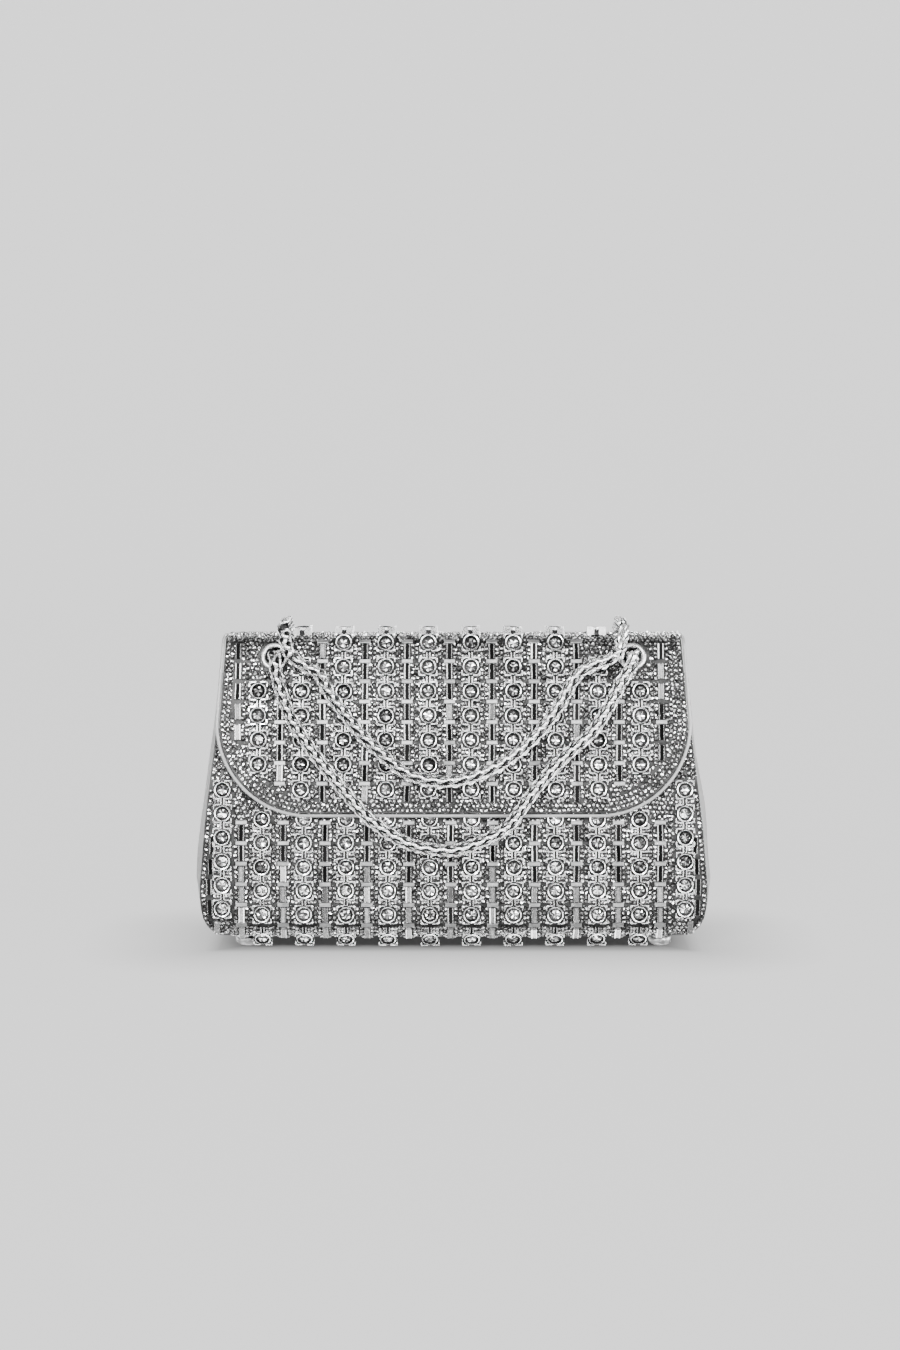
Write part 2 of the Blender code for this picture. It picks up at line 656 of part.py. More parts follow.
shank_top = board_top + GAP + FOOT_WASHER_THICK
foot_profile = ((0.0, 0.0), (FOOT_FLAT_RADIUS, 0.0), (FOOT_RADIUS * 0.84, FOOT_HEIGHT * 0.2),
                (FOOT_RADIUS, FOOT_HEIGHT * 0.55), (FOOT_RADIUS, FOOT_HEIGHT),
                (FOOT_SHANK_RADIUS, FOOT_HEIGHT), (FOOT_SHANK_RADIUS, shank_top), (0.0, shank_top))
shank_hole = FOOT_SHANK_RADIUS + GAP
washer_low = board_top + GAP
foot_washer_profile = ((shank_hole, washer_low), (FOOT_WASHER_RADIUS, washer_low),
                       (FOOT_WASHER_RADIUS, shank_top), (shank_hole, shank_top))
holes = bmesh.new()
for depth_name, sy in (("front", -1), ("back", 1)):
    for side_name, sx in (("left", -1), ("right", 1)):
        spot = Vector((sx * FOOT_X, sy * FOOT_Y, 0.0))
        move = Matrix.Translation(spot)
        foot = lathe(foot_profile, FOOT_SEGMENTS, move)
        finish("foot_" + depth_name + "_" + side_name, "silver", foot, root, smooth=True, origin=spot)
        ring = lathe(foot_washer_profile, FOOT_SEGMENTS, move)
        finish("foot_washer_" + depth_name + "_" + side_name, "silver", ring, root, origin=spot)
        bmesh.ops.create_cone(holes, cap_ends=True, segments=FOOT_SEGMENTS, radius1=shank_hole,
                              radius2=shank_hole, depth=board_top,
                              matrix=Matrix.Translation(spot + Vector((0.0, 0.0, board_top * 0.8))))
shank_holes = cutter("foot_hole_tool", holes, root)
boolean(base_panel, shank_holes, "DIFFERENCE")
boolean(base_board, shank_holes, "DIFFERENCE")


# Lining pouch with its pocket, and the binding on the mouth

def pouch_ring(bm, z, inset):
    half = body_half_width(z) - POUCH_SIDE_INSET - (inset - POUCH_INSET)
    front = inner_depth(FRONT_DEPTH_SHARES, z, POUCH_INSET) - inset + POUCH_INSET
    back = inner_depth(BACK_DEPTH_SHARES, z, POUCH_INSET) - inset + POUCH_INSET
    ring = []
    for k in range(POUCH_RING):
        a = 2 * math.pi * k / POUCH_RING
        c = math.copysign(abs(math.cos(a)) ** POUCH_POWER_SHARE, math.cos(a))
        s = math.copysign(abs(math.sin(a)) ** POUCH_POWER_SHARE, math.sin(a))
        ring.append(bm.verts.new(on_body(half * c, s * (back if s > 0 else front), z)))
    return ring


bm = bmesh.new()
rings = [pouch_ring(bm, POUCH_FLOOR_Z, POUCH_INSET + POUCH_SIDE_INSET)]
for share in (0.03, 0.08, 0.3, 0.55, 0.78, 1.0):
    z = POUCH_FLOOR_Z + (POUCH_TOP_Z - POUCH_FLOOR_Z) * share
    rings.append(pouch_ring(bm, z, POUCH_INSET + POUCH_SIDE_INSET * max(0.0, 0.5 - share * 6)))
for low, high in zip(rings, rings[1:]):
    for k in range(POUCH_RING):
        j = (k + 1) % POUCH_RING
        bm.faces.new((low[k], low[j], high[j], high[k]))
bm.faces.new(list(reversed(rings[0])))
pouch = finish("lining_pouch", "lining", bm, root, smooth=True)
solidify(pouch, LINING_THICK)

pocket_inset = POUCH_INSET + LINING_THICK + 3 * GAP
rows = []
for i in range(3):
    z = POCKET_TOP_Z + (POCKET_LOW_Z - POCKET_TOP_Z) * i / 2
    rows.append((body_depth(BACK_DEPTH_SHARES, z) - pocket_inset, z, POCKET_HALF_WIDTH))
pocket = finish("slip_pocket", "lining", grid(rows, 4), root)
solidify(pocket, POCKET_THICK)

mouth_y = -body_depth(FRONT_DEPTH_SHARES, FRONT_PANEL_TOP_Z)
wrap = GAP + BINDING_THICK
low_z = FRONT_PANEL_TOP_Z - BINDING_DROP
low_y = -body_depth(FRONT_DEPTH_SHARES, low_z)
front_in = panel_inset - wrap
back_in = panel_inset + PANEL_THICK + wrap
mouth_half = body_half_width(FRONT_PANEL_TOP_Z) - FLAP_BOARD_MARGIN
rows = [(low_y + front_in, low_z, mouth_half),
        (mouth_y + front_in, FRONT_PANEL_TOP_Z + wrap, mouth_half),
        (mouth_y + back_in, FRONT_PANEL_TOP_Z + wrap, mouth_half),
        (low_y + back_in, low_z, mouth_half)]
binding = finish("mouth_binding", "leather", grid(rows, SHEET_COLUMNS), root)
solidify(binding, BINDING_THICK)

bm = bmesh.new()
welt_half = FLAP_TOP_HALF_WIDTH
welt_path = [(welt_half * (i / 4 - 1.0), hinge_y, HINGE_Z) for i in range(9)]
add_tube(bm, welt_path, [WELT_RADIUS] * 9, 8, 0.0)
finish("seam_welt", "leather", bm, root, smooth=True)


# Flap: stone sheet, board, lining and piping

flap_sheet = finish("flap_crystal_sheet", "stones",
                    grid(list(reversed(flap_rows(0.0, 0.0, 0.0))), SHEET_COLUMNS), flap)
solidify(flap_sheet, SHEET_THICK)
board_inset = SHEET_THICK + GAP
flap_board = finish("flap_board", "board",
                    grid(list(reversed(flap_rows(board_inset, FLAP_BOARD_MARGIN, FLAP_BOARD_HEM_LIFT))),
                         BACKING_COLUMNS), flap)
solidify(flap_board, BOARD_THICK)
lining_inset = board_inset + BOARD_THICK + GAP
flap_lining = finish("flap_lining", "lining",
                     grid(list(reversed(flap_rows(lining_inset, FLAP_BOARD_MARGIN, FLAP_BOARD_HEM_LIFT))),
                          BACKING_COLUMNS), flap)
solidify(flap_lining, LINING_THICK)


def flap_edge():
    """The flap's edge from the rear seam on the left, round the hem, to the seam on the right."""
    rows = flap_rows(SHEET_THICK / 2, 0.0, 0.0)
    left = [on_body(-half, y, z) for y, z, half in rows]
    hem_y, hem_z, hem_half = rows[-1]
    hem = [on_body(hem_half * t, hem_y, hem_z) for t in (-0.6, -0.2, 0.2, 0.6)]
    right = [on_body(half, y, z) for y, z, half in reversed(rows)]
    return left + hem + right


edge = flap_edge()
centre_y = (outer_line[0][0] + outer_line[-1][0]) / 2
piping = []
for i, point in enumerate(edge):
    before = edge[max(i - 1, 0)]
    after = edge[min(i + 1, len(edge) - 1)]
    ahead = (after - before).normalized()
    if abs(ahead.x) > 0.98:
        out = Vector((0.0, 0.0, -1.0))
    else:
        side = 1.0 if point.x > 0 else -1.0
        out = Vector((side, 0.0, 0.0)) - ahead * ahead.x * side
        out.normalize()
    piping.append(point + out * (PIPING_RADIUS + GAP))
bm = bmesh.new()
add_tube(bm, piping, [PIPING_RADIUS] * len(piping), 5, 0.0)
finish("flap_piping", "leather", bm, flap, smooth=True)


# Magnets in the board of the flap and in the front panel

spot, way = at_height(hem_line, MAGNET_Z)
facing = stand_on(0.0, spot, way, -1.0)
tool = bmesh.new()
bmesh.ops.create_cone(tool, cap_ends=True, segments=16, radius1=MAGNET_RADIUS + GAP,
                      radius2=MAGNET_RADIUS + GAP, depth=4 * FLAP_STANDOFF, matrix=facing)
magnet_hole = cutter("magnet_hole_tool", tool, root)
boolean(flap_board, magnet_hole, "DIFFERENCE")
boolean(front_panel, magnet_hole, "DIFFERENCE")
disc = ((0.0, 0.0), (MAGNET_RADIUS, 0.0), (MAGNET_RADIUS, MAGNET_THICK), (0.0, MAGNET_THICK))
flap_deep = board_inset + (BOARD_THICK + MAGNET_THICK) / 2
finish("flap_magnet", "silver", lathe(disc, 16, facing @ Matrix.Translation((0.0, 0.0, -flap_deep))), flap)
body_deep = FLAP_STANDOFF + panel_inset + (PANEL_THICK + MAGNET_THICK) / 2
finish("body_magnet", "silver", lathe(disc, 16, facing @ Matrix.Translation((0.0, 0.0, -body_deep))), root)


# Eyelets in the flap, two in front and two behind

eyelet_deep = lining_inset + LINING_THICK + GAP + EYELET_WASHER_THICK
barrel = EYELET_HOLE_RADIUS + EYELET_WALL
eyelet_profile = ((EYELET_HOLE_RADIUS, -eyelet_deep), (barrel, -eyelet_deep), (barrel, GAP),
                  (EYELET_OUTER_RADIUS, GAP), (EYELET_OUTER_RADIUS, GAP + EYELET_FLANGE * 0.5),
                  ((EYELET_OUTER_RADIUS + EYELET_HOLE_RADIUS) / 2, GAP + EYELET_FLANGE),
                  (EYELET_HOLE_RADIUS, GAP + EYELET_FLANGE * 0.4))
washer_hole = barrel + GAP
washer_profile = ((washer_hole, -eyelet_deep), (EYELET_OUTER_RADIUS, -eyelet_deep),
                  (EYELET_OUTER_RADIUS, EYELET_WASHER_THICK - eyelet_deep),
                  (washer_hole, EYELET_WASHER_THICK - eyelet_deep))
eyelets = {}
tool = bmesh.new()
for depth_name, line, reach_x, height in (("front", hem_line, EYELET_FRONT_X, EYELET_FRONT_Z),
                                          ("back", outer_line, EYELET_BACK_X, EYELET_BACK_Z)):
    spot, way = at_height(line, height)
    for side_name, side in (("left", -1), ("right", 1)):
        facing = stand_on(side * reach_x, spot, way, -1.0 if line is hem_line else 1.0)
        out = facing.to_3x3() @ Vector((0.0, 0.0, 1.0))
        eyelets[depth_name, side_name] = (facing.to_translation(), out)
        finish("eyelet_" + depth_name + "_" + side_name, "silver",
               lathe(eyelet_profile, EYELET_SEGMENTS, facing), flap, smooth=True)
        finish("eyelet_washer_" + depth_name + "_" + side_name, "silver",
               lathe(washer_profile, EYELET_SEGMENTS, facing), flap)
        bmesh.ops.create_cone(tool, cap_ends=True, segments=EYELET_SEGMENTS, radius1=barrel + HOLE_CLEAR,
                              radius2=barrel + HOLE_CLEAR, depth=4 * eyelet_deep, matrix=facing)
eyelet_holes = cutter("eyelet_hole_tool", tool, flap)


# Settings and baguette columns on the sheets

def stone_tool(name, studs, ribs, carrier):
    bm = bmesh.new()
    for matrix in studs:
        add_stud(bm, matrix)
    for stations in ribs:
        add_rib(bm, stations)
    bmesh.ops.recalc_face_normals(bm, faces=bm.faces[:])
    return cutter(name, bm, carrier)


def on_line(line, x, distance, outward):
    spot, way = along(line, distance)
    return stand_on(x, spot, way, outward)


studs = []
for k in range(10):
    x = (k - 4.5) * FLAP_COLUMN_PITCH + FLAP_COLUMN_SHIFT
    if k in (0, 9):
        rows = (1, 2, 3, 4)
    elif k in (1, 8):
        rows = (0, 1, 2, 3, 4, 5, 7)
    else:
        rows = range(8)
    for row in rows:
        studs.append(on_line(hem_line, x, FLAP_FIRST_ROW + ROW_PITCH * row, -1.0))
ribs = []
face_length = FLAP_FIRST_ROW + ROW_PITCH * 5.45
for k in range(11):
    x = (k - 5) * FLAP_COLUMN_PITCH + FLAP_COLUMN_SHIFT
    start = BORDER_WIDTH
    while flap_half_width(along(hem_line, start)[0].y) < abs(x) + BORDER_WIDTH and start < face_length / 2:
        start += PIPING_RADIUS
    beside = abs(abs(x) - EYELET_FRONT_X) < EYELET_OUTER_RADIUS + BAGUETTE_WIDTH
    stop = face_length - (EYELET_OUTER_RADIUS if beside else 0.0)
    ribs.append([on_line(hem_line, x, start + (stop - start) * i / 4, -1.0) for i in range(5)])
flap_stones = stone_tool("flap_stone_tool", studs, ribs, flap)
boolean(flap_sheet, eyelet_holes, "DIFFERENCE")
boolean(flap_sheet, flap_stones, "UNION")
boolean(flap_board, eyelet_holes, "DIFFERENCE")
boolean(flap_lining, eyelet_holes, "DIFFERENCE")


def body_stones(name, shares, side, top_z, row_count, outer_rows):
    line = face_line(shares, side, 0.0, top_z)
    studs = []
    ribs = []
    for k in range(12):
        x = (k - 5.5) * BODY_COLUMN_PITCH + BODY_COLUMN_SHIFT
        outer = k in (0, 11)
        if outer:
            x = math.copysign(BODY_OUTER_COLUMN, x)
        for row in range(outer_rows if outer else row_count):
            if row == 0 and outer:
                continue
            distance = BODY_TURN_ROW + ROW_PITCH * row
            studs.append(on_line(line, x, distance, side))
    for k in range(11):
        x = (k - 5) * BODY_COLUMN_PITCH + BODY_COLUMN_SHIFT
        low = BODY_TURN_ROW + ROW_PITCH
        high = BODY_TURN_ROW + ROW_PITCH * (row_count - 1.4)
        ribs.append([on_line(line, x, low + (high - low) * i / 4, side) for i in range(5)])
    return stone_tool(name, studs, ribs, root)


boolean(front_sheet, body_stones("front_stone_tool", FRONT_DEPTH_SHARES, -1, FRONT_SHEET_TOP_Z, 6, 7),
        "UNION")
boolean(back_sheet, body_stones("back_stone_tool", BACK_DEPTH_SHARES, 1, back_top, 10, 9), "UNION")


# Chain: fixed runs through the eyelets, then the two hanging loops.

lie_line = offset_line(hem_line, CHAIN_RADIUS + SETTING_HEIGHT + GAP)


def hang_y(x, z):
    """Depth of a chain that lies on the settings at a height."""
    if z < FLAP_HEM_Z:
        return pull_in(x, flap_face_y(z) - CHAIN_RADIUS - SETTING_HEIGHT - GAP, z)
    spot, way = at_height(lie_line, z)
    return pull_in(x, spot.x, z)


def loop_points(shares, pivot, drop):
    points = []
    for sx, sz in shares:
        x = sx * pivot.x
        z = pivot.z - sz * drop
        y = pivot.y if sz == 0.0 else hang_y(x, z)
        points.append(Vector((x, y, z)))
    return points


place, out = eyelets["front", "right"]
front_pivot = place + out * CHAIN_PIVOT_REACH
angle = math.radians(CHAIN_REAR_PIVOT_DEG)
reach = FLAP_FRONT_ARC + CHAIN_LIE
arc_start = outer_line[7]
rear_pivot = Vector((CHAIN_TOP_X, arc_start[0] - reach * math.cos(angle),
                     FLAP_TOP_Z - FLAP_FRONT_ARC + reach * math.sin(angle)))
strap_front_axis = (0.0, front_pivot.y, front_pivot.z)
strap_rear_axis = (0.0, rear_pivot.y, rear_pivot.z)
chain("strap_front", loop_points(FRONT_LOOP_SHARES, front_pivot, CHAIN_FRONT_DROP), flap, strap_front_axis)
chain("strap_rear", loop_points(REAR_LOOP_SHARES, rear_pivot, CHAIN_REAR_DROP), flap, strap_rear_axis)

for side_name, side in (("left", -1), ("right", 1)):
    place, out = eyelets["front", side_name]
    back_place, back_out = eyelets["back", side_name]
    over_z = FLAP_TOP_Z + CHAIN_LIE
    rear_mid = Vector((outer_line[6][0], FLAP_TOP_Z - FLAP_REAR_ARC))
    reach = FLAP_REAR_ARC + CHAIN_LIE + EYELET_FLANGE / 2
    top_x = side * CHAIN_TOP_X
    points = [place + out * (CHAIN_PIVOT_REACH - CHAIN_STOP - CHAIN_RADIUS * 0.88),
              place - out * CHAIN_INSIDE_REACH,
              (place - out * CHAIN_INSIDE_REACH + back_place - back_out * CHAIN_INSIDE_REACH) / 2,
              back_place - back_out * CHAIN_INSIDE_REACH,
              back_place + back_out * EYELET_FLANGE,
              back_place + back_out * CHAIN_OUTSIDE_REACH + Vector((0.0, 0.0, CHAIN_RADIUS))]
    for deg in (5.0, 35.0, 65.0):
        a = math.radians(deg)
        points.append(Vector((top_x, rear_mid.x + reach * math.cos(a), rear_mid.y + reach * math.sin(a))))
    stop = Vector((top_x, rear_pivot.y, rear_pivot.z))
    points.append(Vector((top_x, arc_start[0], over_z)))
    away = (points[-1] - stop).normalized()
    points.append(stop + away * (CHAIN_STOP + CHAIN_RADIUS * 0.88))
    chain("chain_run_" + side_name, points, flap)


# Centre the whole bag over the origin.

bpy.context.view_layer.update()
graph = bpy.context.evaluated_depsgraph_get()
low = None
high = None
for thing in bag.objects:
    if thing.type == "MESH":
        shape = thing.evaluated_get(graph)
        for corner in shape.bound_box:
            y = (shape.matrix_world @ Vector(corner)).y
            low = y if low is None else min(low, y)
            high = y if high is None else max(high, y)
root.location.y = -(low + high) / 2
bpy.context.view_layer.update()
print("shift", root.location.y, "hinge", hinge_y + root.location.y, HINGE_Z)
print("front pivot", front_pivot + root.location, "rear pivot", rear_pivot + root.location)
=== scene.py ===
import json
import math
import random

import bmesh
import bpy
import numpy as np
from mathutils import Matrix, Vector, noise


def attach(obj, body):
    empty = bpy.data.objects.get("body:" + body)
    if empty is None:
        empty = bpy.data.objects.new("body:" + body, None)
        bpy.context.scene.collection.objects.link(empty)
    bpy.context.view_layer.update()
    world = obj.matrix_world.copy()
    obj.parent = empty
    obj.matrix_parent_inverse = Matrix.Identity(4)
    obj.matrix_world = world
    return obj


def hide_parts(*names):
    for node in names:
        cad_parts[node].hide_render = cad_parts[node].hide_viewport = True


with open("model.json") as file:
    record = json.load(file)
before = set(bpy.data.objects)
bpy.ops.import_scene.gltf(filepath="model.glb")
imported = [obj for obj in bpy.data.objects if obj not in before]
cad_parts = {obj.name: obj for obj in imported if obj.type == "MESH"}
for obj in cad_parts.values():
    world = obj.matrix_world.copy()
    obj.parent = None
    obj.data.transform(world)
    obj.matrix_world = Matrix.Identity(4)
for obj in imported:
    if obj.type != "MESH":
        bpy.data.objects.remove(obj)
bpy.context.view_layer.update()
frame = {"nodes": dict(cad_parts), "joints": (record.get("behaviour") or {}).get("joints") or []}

rng = random.Random(11)
mm = 0.001
scene = bpy.context.scene


def lengths(**values):
    # A dictionary given in millimetres and kept in metres.
    return {name: value * mm for name, value in values.items()}


# Shape of the whole bag: x is the width, minus y the front, z up. The pairs are shares of the height
# and of the half width or depth there.
bag = dict(lengths(half=105.5, baseHalf=30, lift=4.6, turn=10, top=130, hinge=105, gap=0.3, sheet=1.4,
                   panel=1.5, board=1.2, lining=0.8, welt=1.5, rise=1.1), turnDeg=85, pull=0.07)
flapShape = dict(lengths(standoff=4.7, hem=58, corner=37, lowHalf=97.3, topHalf=94.9, faceTop=116.5,
                         frontArc=6, rearArc=8, margin=1.2, hemLift=5.2), frontTilt=20, rearTilt=10.5)
widthShares = ((0.03, 0.905), (0.05, 0.943), (0.07, 0.967), (0.1, 0.986), (0.14, 0.997), (0.21, 1.0),
               (0.305, 0.99), (0.4, 0.981), (0.5, 0.967), (0.66, 0.943), (0.77, 0.929), (1.0, 0.905))
frontShares = ((0.0, 1.0), (0.15, 1.0), (0.31, 0.95), (0.4, 0.897), (0.46, 0.853), (0.54, 0.79),
               (0.615, 0.717), (0.69, 0.643), (0.77, 0.567), (0.85, 0.473), (0.9, 0.41), (1.0, 0.29))
backShares = ((0.0, 1.0), (0.15, 1.0), (0.31, 0.955), (0.46, 0.87), (0.62, 0.75), (0.77, 0.61),
              (0.8077, 0.58), (1.0, 0.43))


def readShares(table, share):
    if share <= table[0][0]:
        return table[0][1]
    for (low, a), (high, b) in zip(table, table[1:]):
        if share <= high:
            return a + (b - a) * (share - low) / (high - low)
    return table[-1][1]


def bodyHalf(z):
    return bag["half"] * readShares(widthShares, z / bag["top"])


def depth(shares, z):
    return bag["baseHalf"] * readShares(shares, z / bag["top"])


def innerDepth(shares, z, inset):
    turnZ = bag["lift"] + bag["turn"]
    if z >= turnZ:
        return depth(shares, z) - inset
    reach = (bag["turn"] - inset) ** 2 - (turnZ - z) ** 2
    return bag["baseHalf"] - bag["turn"] + math.sqrt(max(reach, 0.0))


def pullIn(x, y, z):
    fade = max(0.0, 1.0 - z / bag["hinge"])
    return y * (1.0 - bag["pull"] * (x / bag["half"]) ** 2 * fade)


hingeY = depth(backShares, bag["hinge"]) - (bag["sheet"] + bag["board"] + bag["lining"] + 2 * bag["gap"]) / 2
hingeSpot = [j["pos_m"] for j in frame["joints"] if j["name"] == "flap_hinge"][0]
shiftY = hingeSpot[1] - hingeY


def onBody(x, y, z):
    return Vector((x, pullIn(x, y, z) + shiftY, z))


def axes(x, y, z):
    return Matrix((x, y, z)).transposed().to_4x4()


class Line:
    # A line of (y, z) points that the stones and layers of one face follow.
    def __init__(self, points, outward):
        self.points = [Vector(p) for p in points]
        self.outward = outward
        self.ends = [0.0]
        for a, b in zip(self.points, self.points[1:]):
            self.ends.append(self.ends[-1] + (b - a).length)
        self.length = self.ends[-1]

    def at(self, distance):
        i = 0
        while i < len(self.ends) - 2 and self.ends[i + 1] < distance:
            i += 1
        way = (self.points[i + 1] - self.points[i]).normalized()
        return self.points[i] + way * (distance - self.ends[i]), way

    def heightAt(self, z):
        for i, (a, b) in enumerate(zip(self.points, self.points[1:])):
            if min(a.y, b.y) <= z <= max(a.y, b.y):
                share = (z - a.y) / (b.y - a.y)
                return self.ends[i] + (b - a).length * share
        return self.length

    def stand(self, x, distance, lift=0.0):
        # A matrix whose z axis leaves the surface, with y up the line.
        spot, way = self.at(distance)
        up = Vector((0.0, way.x, way.y))
        out = self.outward * Vector((0.0, way.y, -way.x))
        side = up.cross(out).normalized()
        return Matrix.Translation(onBody(x, spot.x, spot.y) + out * lift) @ axes(side, up, out)


def faceLine(shares, side, top):
    turnZ = bag["lift"] + bag["turn"]
    line = []
    for i in range(10):
        a = math.radians(bag["turnDeg"]) * (1.0 - i / 10)
        line.append((side * (bag["baseHalf"] - bag["turn"] + bag["turn"] * math.cos(a)),
                     turnZ - bag["turn"] * math.sin(a)))
    for i in range(25):
        z = turnZ + (top - turnZ) * i / 24
        line.append((side * depth(shares, z), z))
    return Line(line, side)


def flapHalf(z):
    low = flapShape["hem"] + flapShape["corner"]
    share = min(max((z - low) / (bag["top"] - low), 0.0), 1.0)
    return flapShape["lowHalf"] + (flapShape["topHalf"] - flapShape["lowHalf"]) * share


def flapFaceY(z):
    return -(depth(frontShares, z) + flapShape["standoff"])


def flapPoints():
    # From the hem up the face, over the top and down to the rear seam.
    rear = math.radians(flapShape["rearTilt"])
    front = math.radians(flapShape["frontTilt"])
    top, arc, rearArc = bag["top"], flapShape["frontArc"], flapShape["rearArc"]
    faceTop, hem = flapShape["faceTop"], flapShape["hem"]
    line = [(flapFaceY(hem + (faceTop - hem) * i / 24), hem + (faceTop - hem) * i / 24) for i in range(25)]
    dropZ = top - arc * (1.0 - math.sin(front))
    midY = flapFaceY(faceTop) + (dropZ - faceTop) * math.tan(front) + arc * math.cos(front)
    for i in range(11):
        a = front + (math.pi / 2 - front) * i / 10
        line.append((midY - arc * math.cos(a), top - arc * (1.0 - math.sin(a))))
    seamY = depth(backShares, bag["hinge"])
    seamZ = bag["hinge"] + bag["welt"] + bag["rise"]
    riseZ = top - rearArc * (1.0 - math.sin(rear))
    riseY = seamY - (riseZ - seamZ) * math.tan(rear)
    midY = riseY - rearArc * math.cos(rear)
    for i in range(11):
        a = math.pi / 2 - (math.pi / 2 - rear) * i / 10
        line.append((midY + rearArc * math.cos(a), top - rearArc * (1.0 - math.sin(a))))
    line.append((seamY, seamZ))
    return line


flapLine = Line(flapPoints(), -1)
backTop = bag["hinge"] - 3.6 * mm
frontLine = faceLine(frontShares, -1, 92 * mm)
backLine = faceLine(backShares, 1, backTop)
cornerD = flapLine.heightAt(flapShape["hem"] + flapShape["corner"])
flatHalf = flapShape["lowHalf"] - flapShape["corner"]


def flapHalfAt(distance, margin=0.0):
    # Half width of the flap at a distance from its hem, with the round corners.
    if distance >= cornerD:
        return flapHalf(flapLine.at(distance)[0].y) - margin
    share = 1.0 - max(distance, 0.0) / cornerD
    return flatHalf + flapShape["corner"] * math.sqrt(max(1.0 - share ** 2, 0.0)) - margin


def flapInset(x, distance):
    # How far inside the flap's outline a place is.
    side = flapHalf(flapLine.at(distance)[0].y) - abs(x)
    if distance < cornerD and abs(x) > flatHalf:
        reach = Vector((abs(x) - flatHalf, (cornerD - distance) * flapShape["corner"] / cornerD)).length
        return min(side, flapShape["corner"] - reach)
    return min(side, distance)


# Node materials

class Wire:
    # One socket, with arithmetic that makes Math nodes.
    def __init__(self, tree, socket):
        self.tree = tree
        self.socket = socket

    def node(self, kind, settings, plugs, out=0):
        made = self.tree.nodes.new(kind)
        for key, value in settings.items():
            setattr(made, key, value)
        for key, value in plugs.items():
            if isinstance(value, Wire):
                self.tree.links.new(value.socket, made.inputs[key])
            else:
                made.inputs[key].default_value = value
        return Wire(self.tree, made.outputs[out])

    def math(self, operation, a, b=0.0):
        return self.node("ShaderNodeMath", {"operation": operation}, {0: a, 1: b})

    def __add__(self, other):
        return self.math("ADD", self, other)

    def __radd__(self, other):
        return self.math("ADD", other, self)

    def __sub__(self, other):
        return self.math("SUBTRACT", self, other)

    def __rsub__(self, other):
        return self.math("SUBTRACT", other, self)

    def __mul__(self, other):
        return self.math("MULTIPLY", self, other)

    def __rmul__(self, other):
        return self.math("MULTIPLY", other, self)

    def spread(self, low, high, newLow=0.0, newHigh=1.0):
        return self.node("ShaderNodeMapRange", {"clamp": True},
                         {0: self, 1: low, 2: high, 3: newLow, 4: newHigh})

    def blend(self, a, b):
        # Colours mixed by this wire.
        return self.node("ShaderNodeMix", {"data_type": "RGBA"}, {0: self, 6: a, 7: b}, 2)

    def feed(self, shader, key):
        self.tree.links.new(self.socket, shader.inputs[key])


def grey(tone, warm=0.0):
    return (tone * (1 + warm), tone, tone * (1 - warm), 1.0)


def newFinish(name, metallic=0.0, coat=0.0):
    mat = bpy.data.materials.new(name)
    mat.use_nodes = True
    shader = mat.node_tree.nodes["Principled BSDF"]
    shader.inputs["Metallic"].default_value = metallic
    shader.inputs["Coat Weight"].default_value = coat
    start = Wire(mat.node_tree, None)
    where = start.node("ShaderNodeTexCoord", {}, {}, 3)
    return mat, shader, where


def bump(shader, height, strength, distance):
    height.node("ShaderNodeBump", {}, {"Height": height, "Strength": strength, "Distance": distance}).feed(
        shader, "Normal")


def noiseAt(where, scale, detail=2.0, rough=0.5):
    return where.node("ShaderNodeTexNoise", {}, {"Vector": where, "Scale": scale, "Detail": detail,
                                                 "Roughness": rough})


def cellEdges(where, scale):
    return where.node("ShaderNodeTexVoronoi", {"feature": "DISTANCE_TO_EDGE"},
                      {"Vector": where, "Scale": scale})


def stoneFinish(name, low, high, metallic, rough=0.05, shine=0.5):
    mat, shader, where = newFinish(name, metallic, shine * 0.6)
    shader.inputs["Specular IOR Level"].default_value = shine
    tone = where.node("ShaderNodeAttribute", {"attribute_name": "tone"}, {}, 2)
    cloud = noiseAt(where, 900, 3)
    (tone * 0.85 + cloud * 0.2).spread(0.22, 0.78).blend(grey(low), grey(high)).feed(shader, "Base Color")
    cloud.spread(0.3, 0.8, rough * 0.5, rough * 2).feed(shader, "Roughness")
    return mat


def metalFinish(name, low, high, rough, scratch=0.02):
    mat, shader, where = newFinish(name, 1.0)
    cloud = noiseAt(where, 260, 4, 0.6)
    fine = noiseAt(where, 2600, 2)
    cloud.spread(0.3, 0.75).blend(grey(low), grey(high)).feed(shader, "Base Color")
    (cloud * 0.6 + fine * 0.4).spread(0.25, 0.8, rough * 0.6, rough * 1.5).feed(shader, "Roughness")
    bump(shader, fine, scratch, 0.0002)
    return mat


def leatherFinish(name, low, high, metallic, rough=0.42):
    mat, shader, where = newFinish(name, metallic, 0.15)
    grain = cellEdges(where, 1100)
    worn = noiseAt(where, 60, 5, 0.6)
    fine = noiseAt(where, 2400, 3)
    (worn * 0.7 + grain.spread(0.0, 0.3) * 0.3).spread(0.25, 0.8).blend(grey(low), grey(high)).feed(
        shader, "Base Color")
    (rough + (fine - 0.5) * 0.2 + (worn - 0.5) * 0.15).feed(shader, "Roughness")
    bump(shader, grain.spread(0.0, 0.25) + fine * 0.3, 0.35, 0.0002)
    return mat


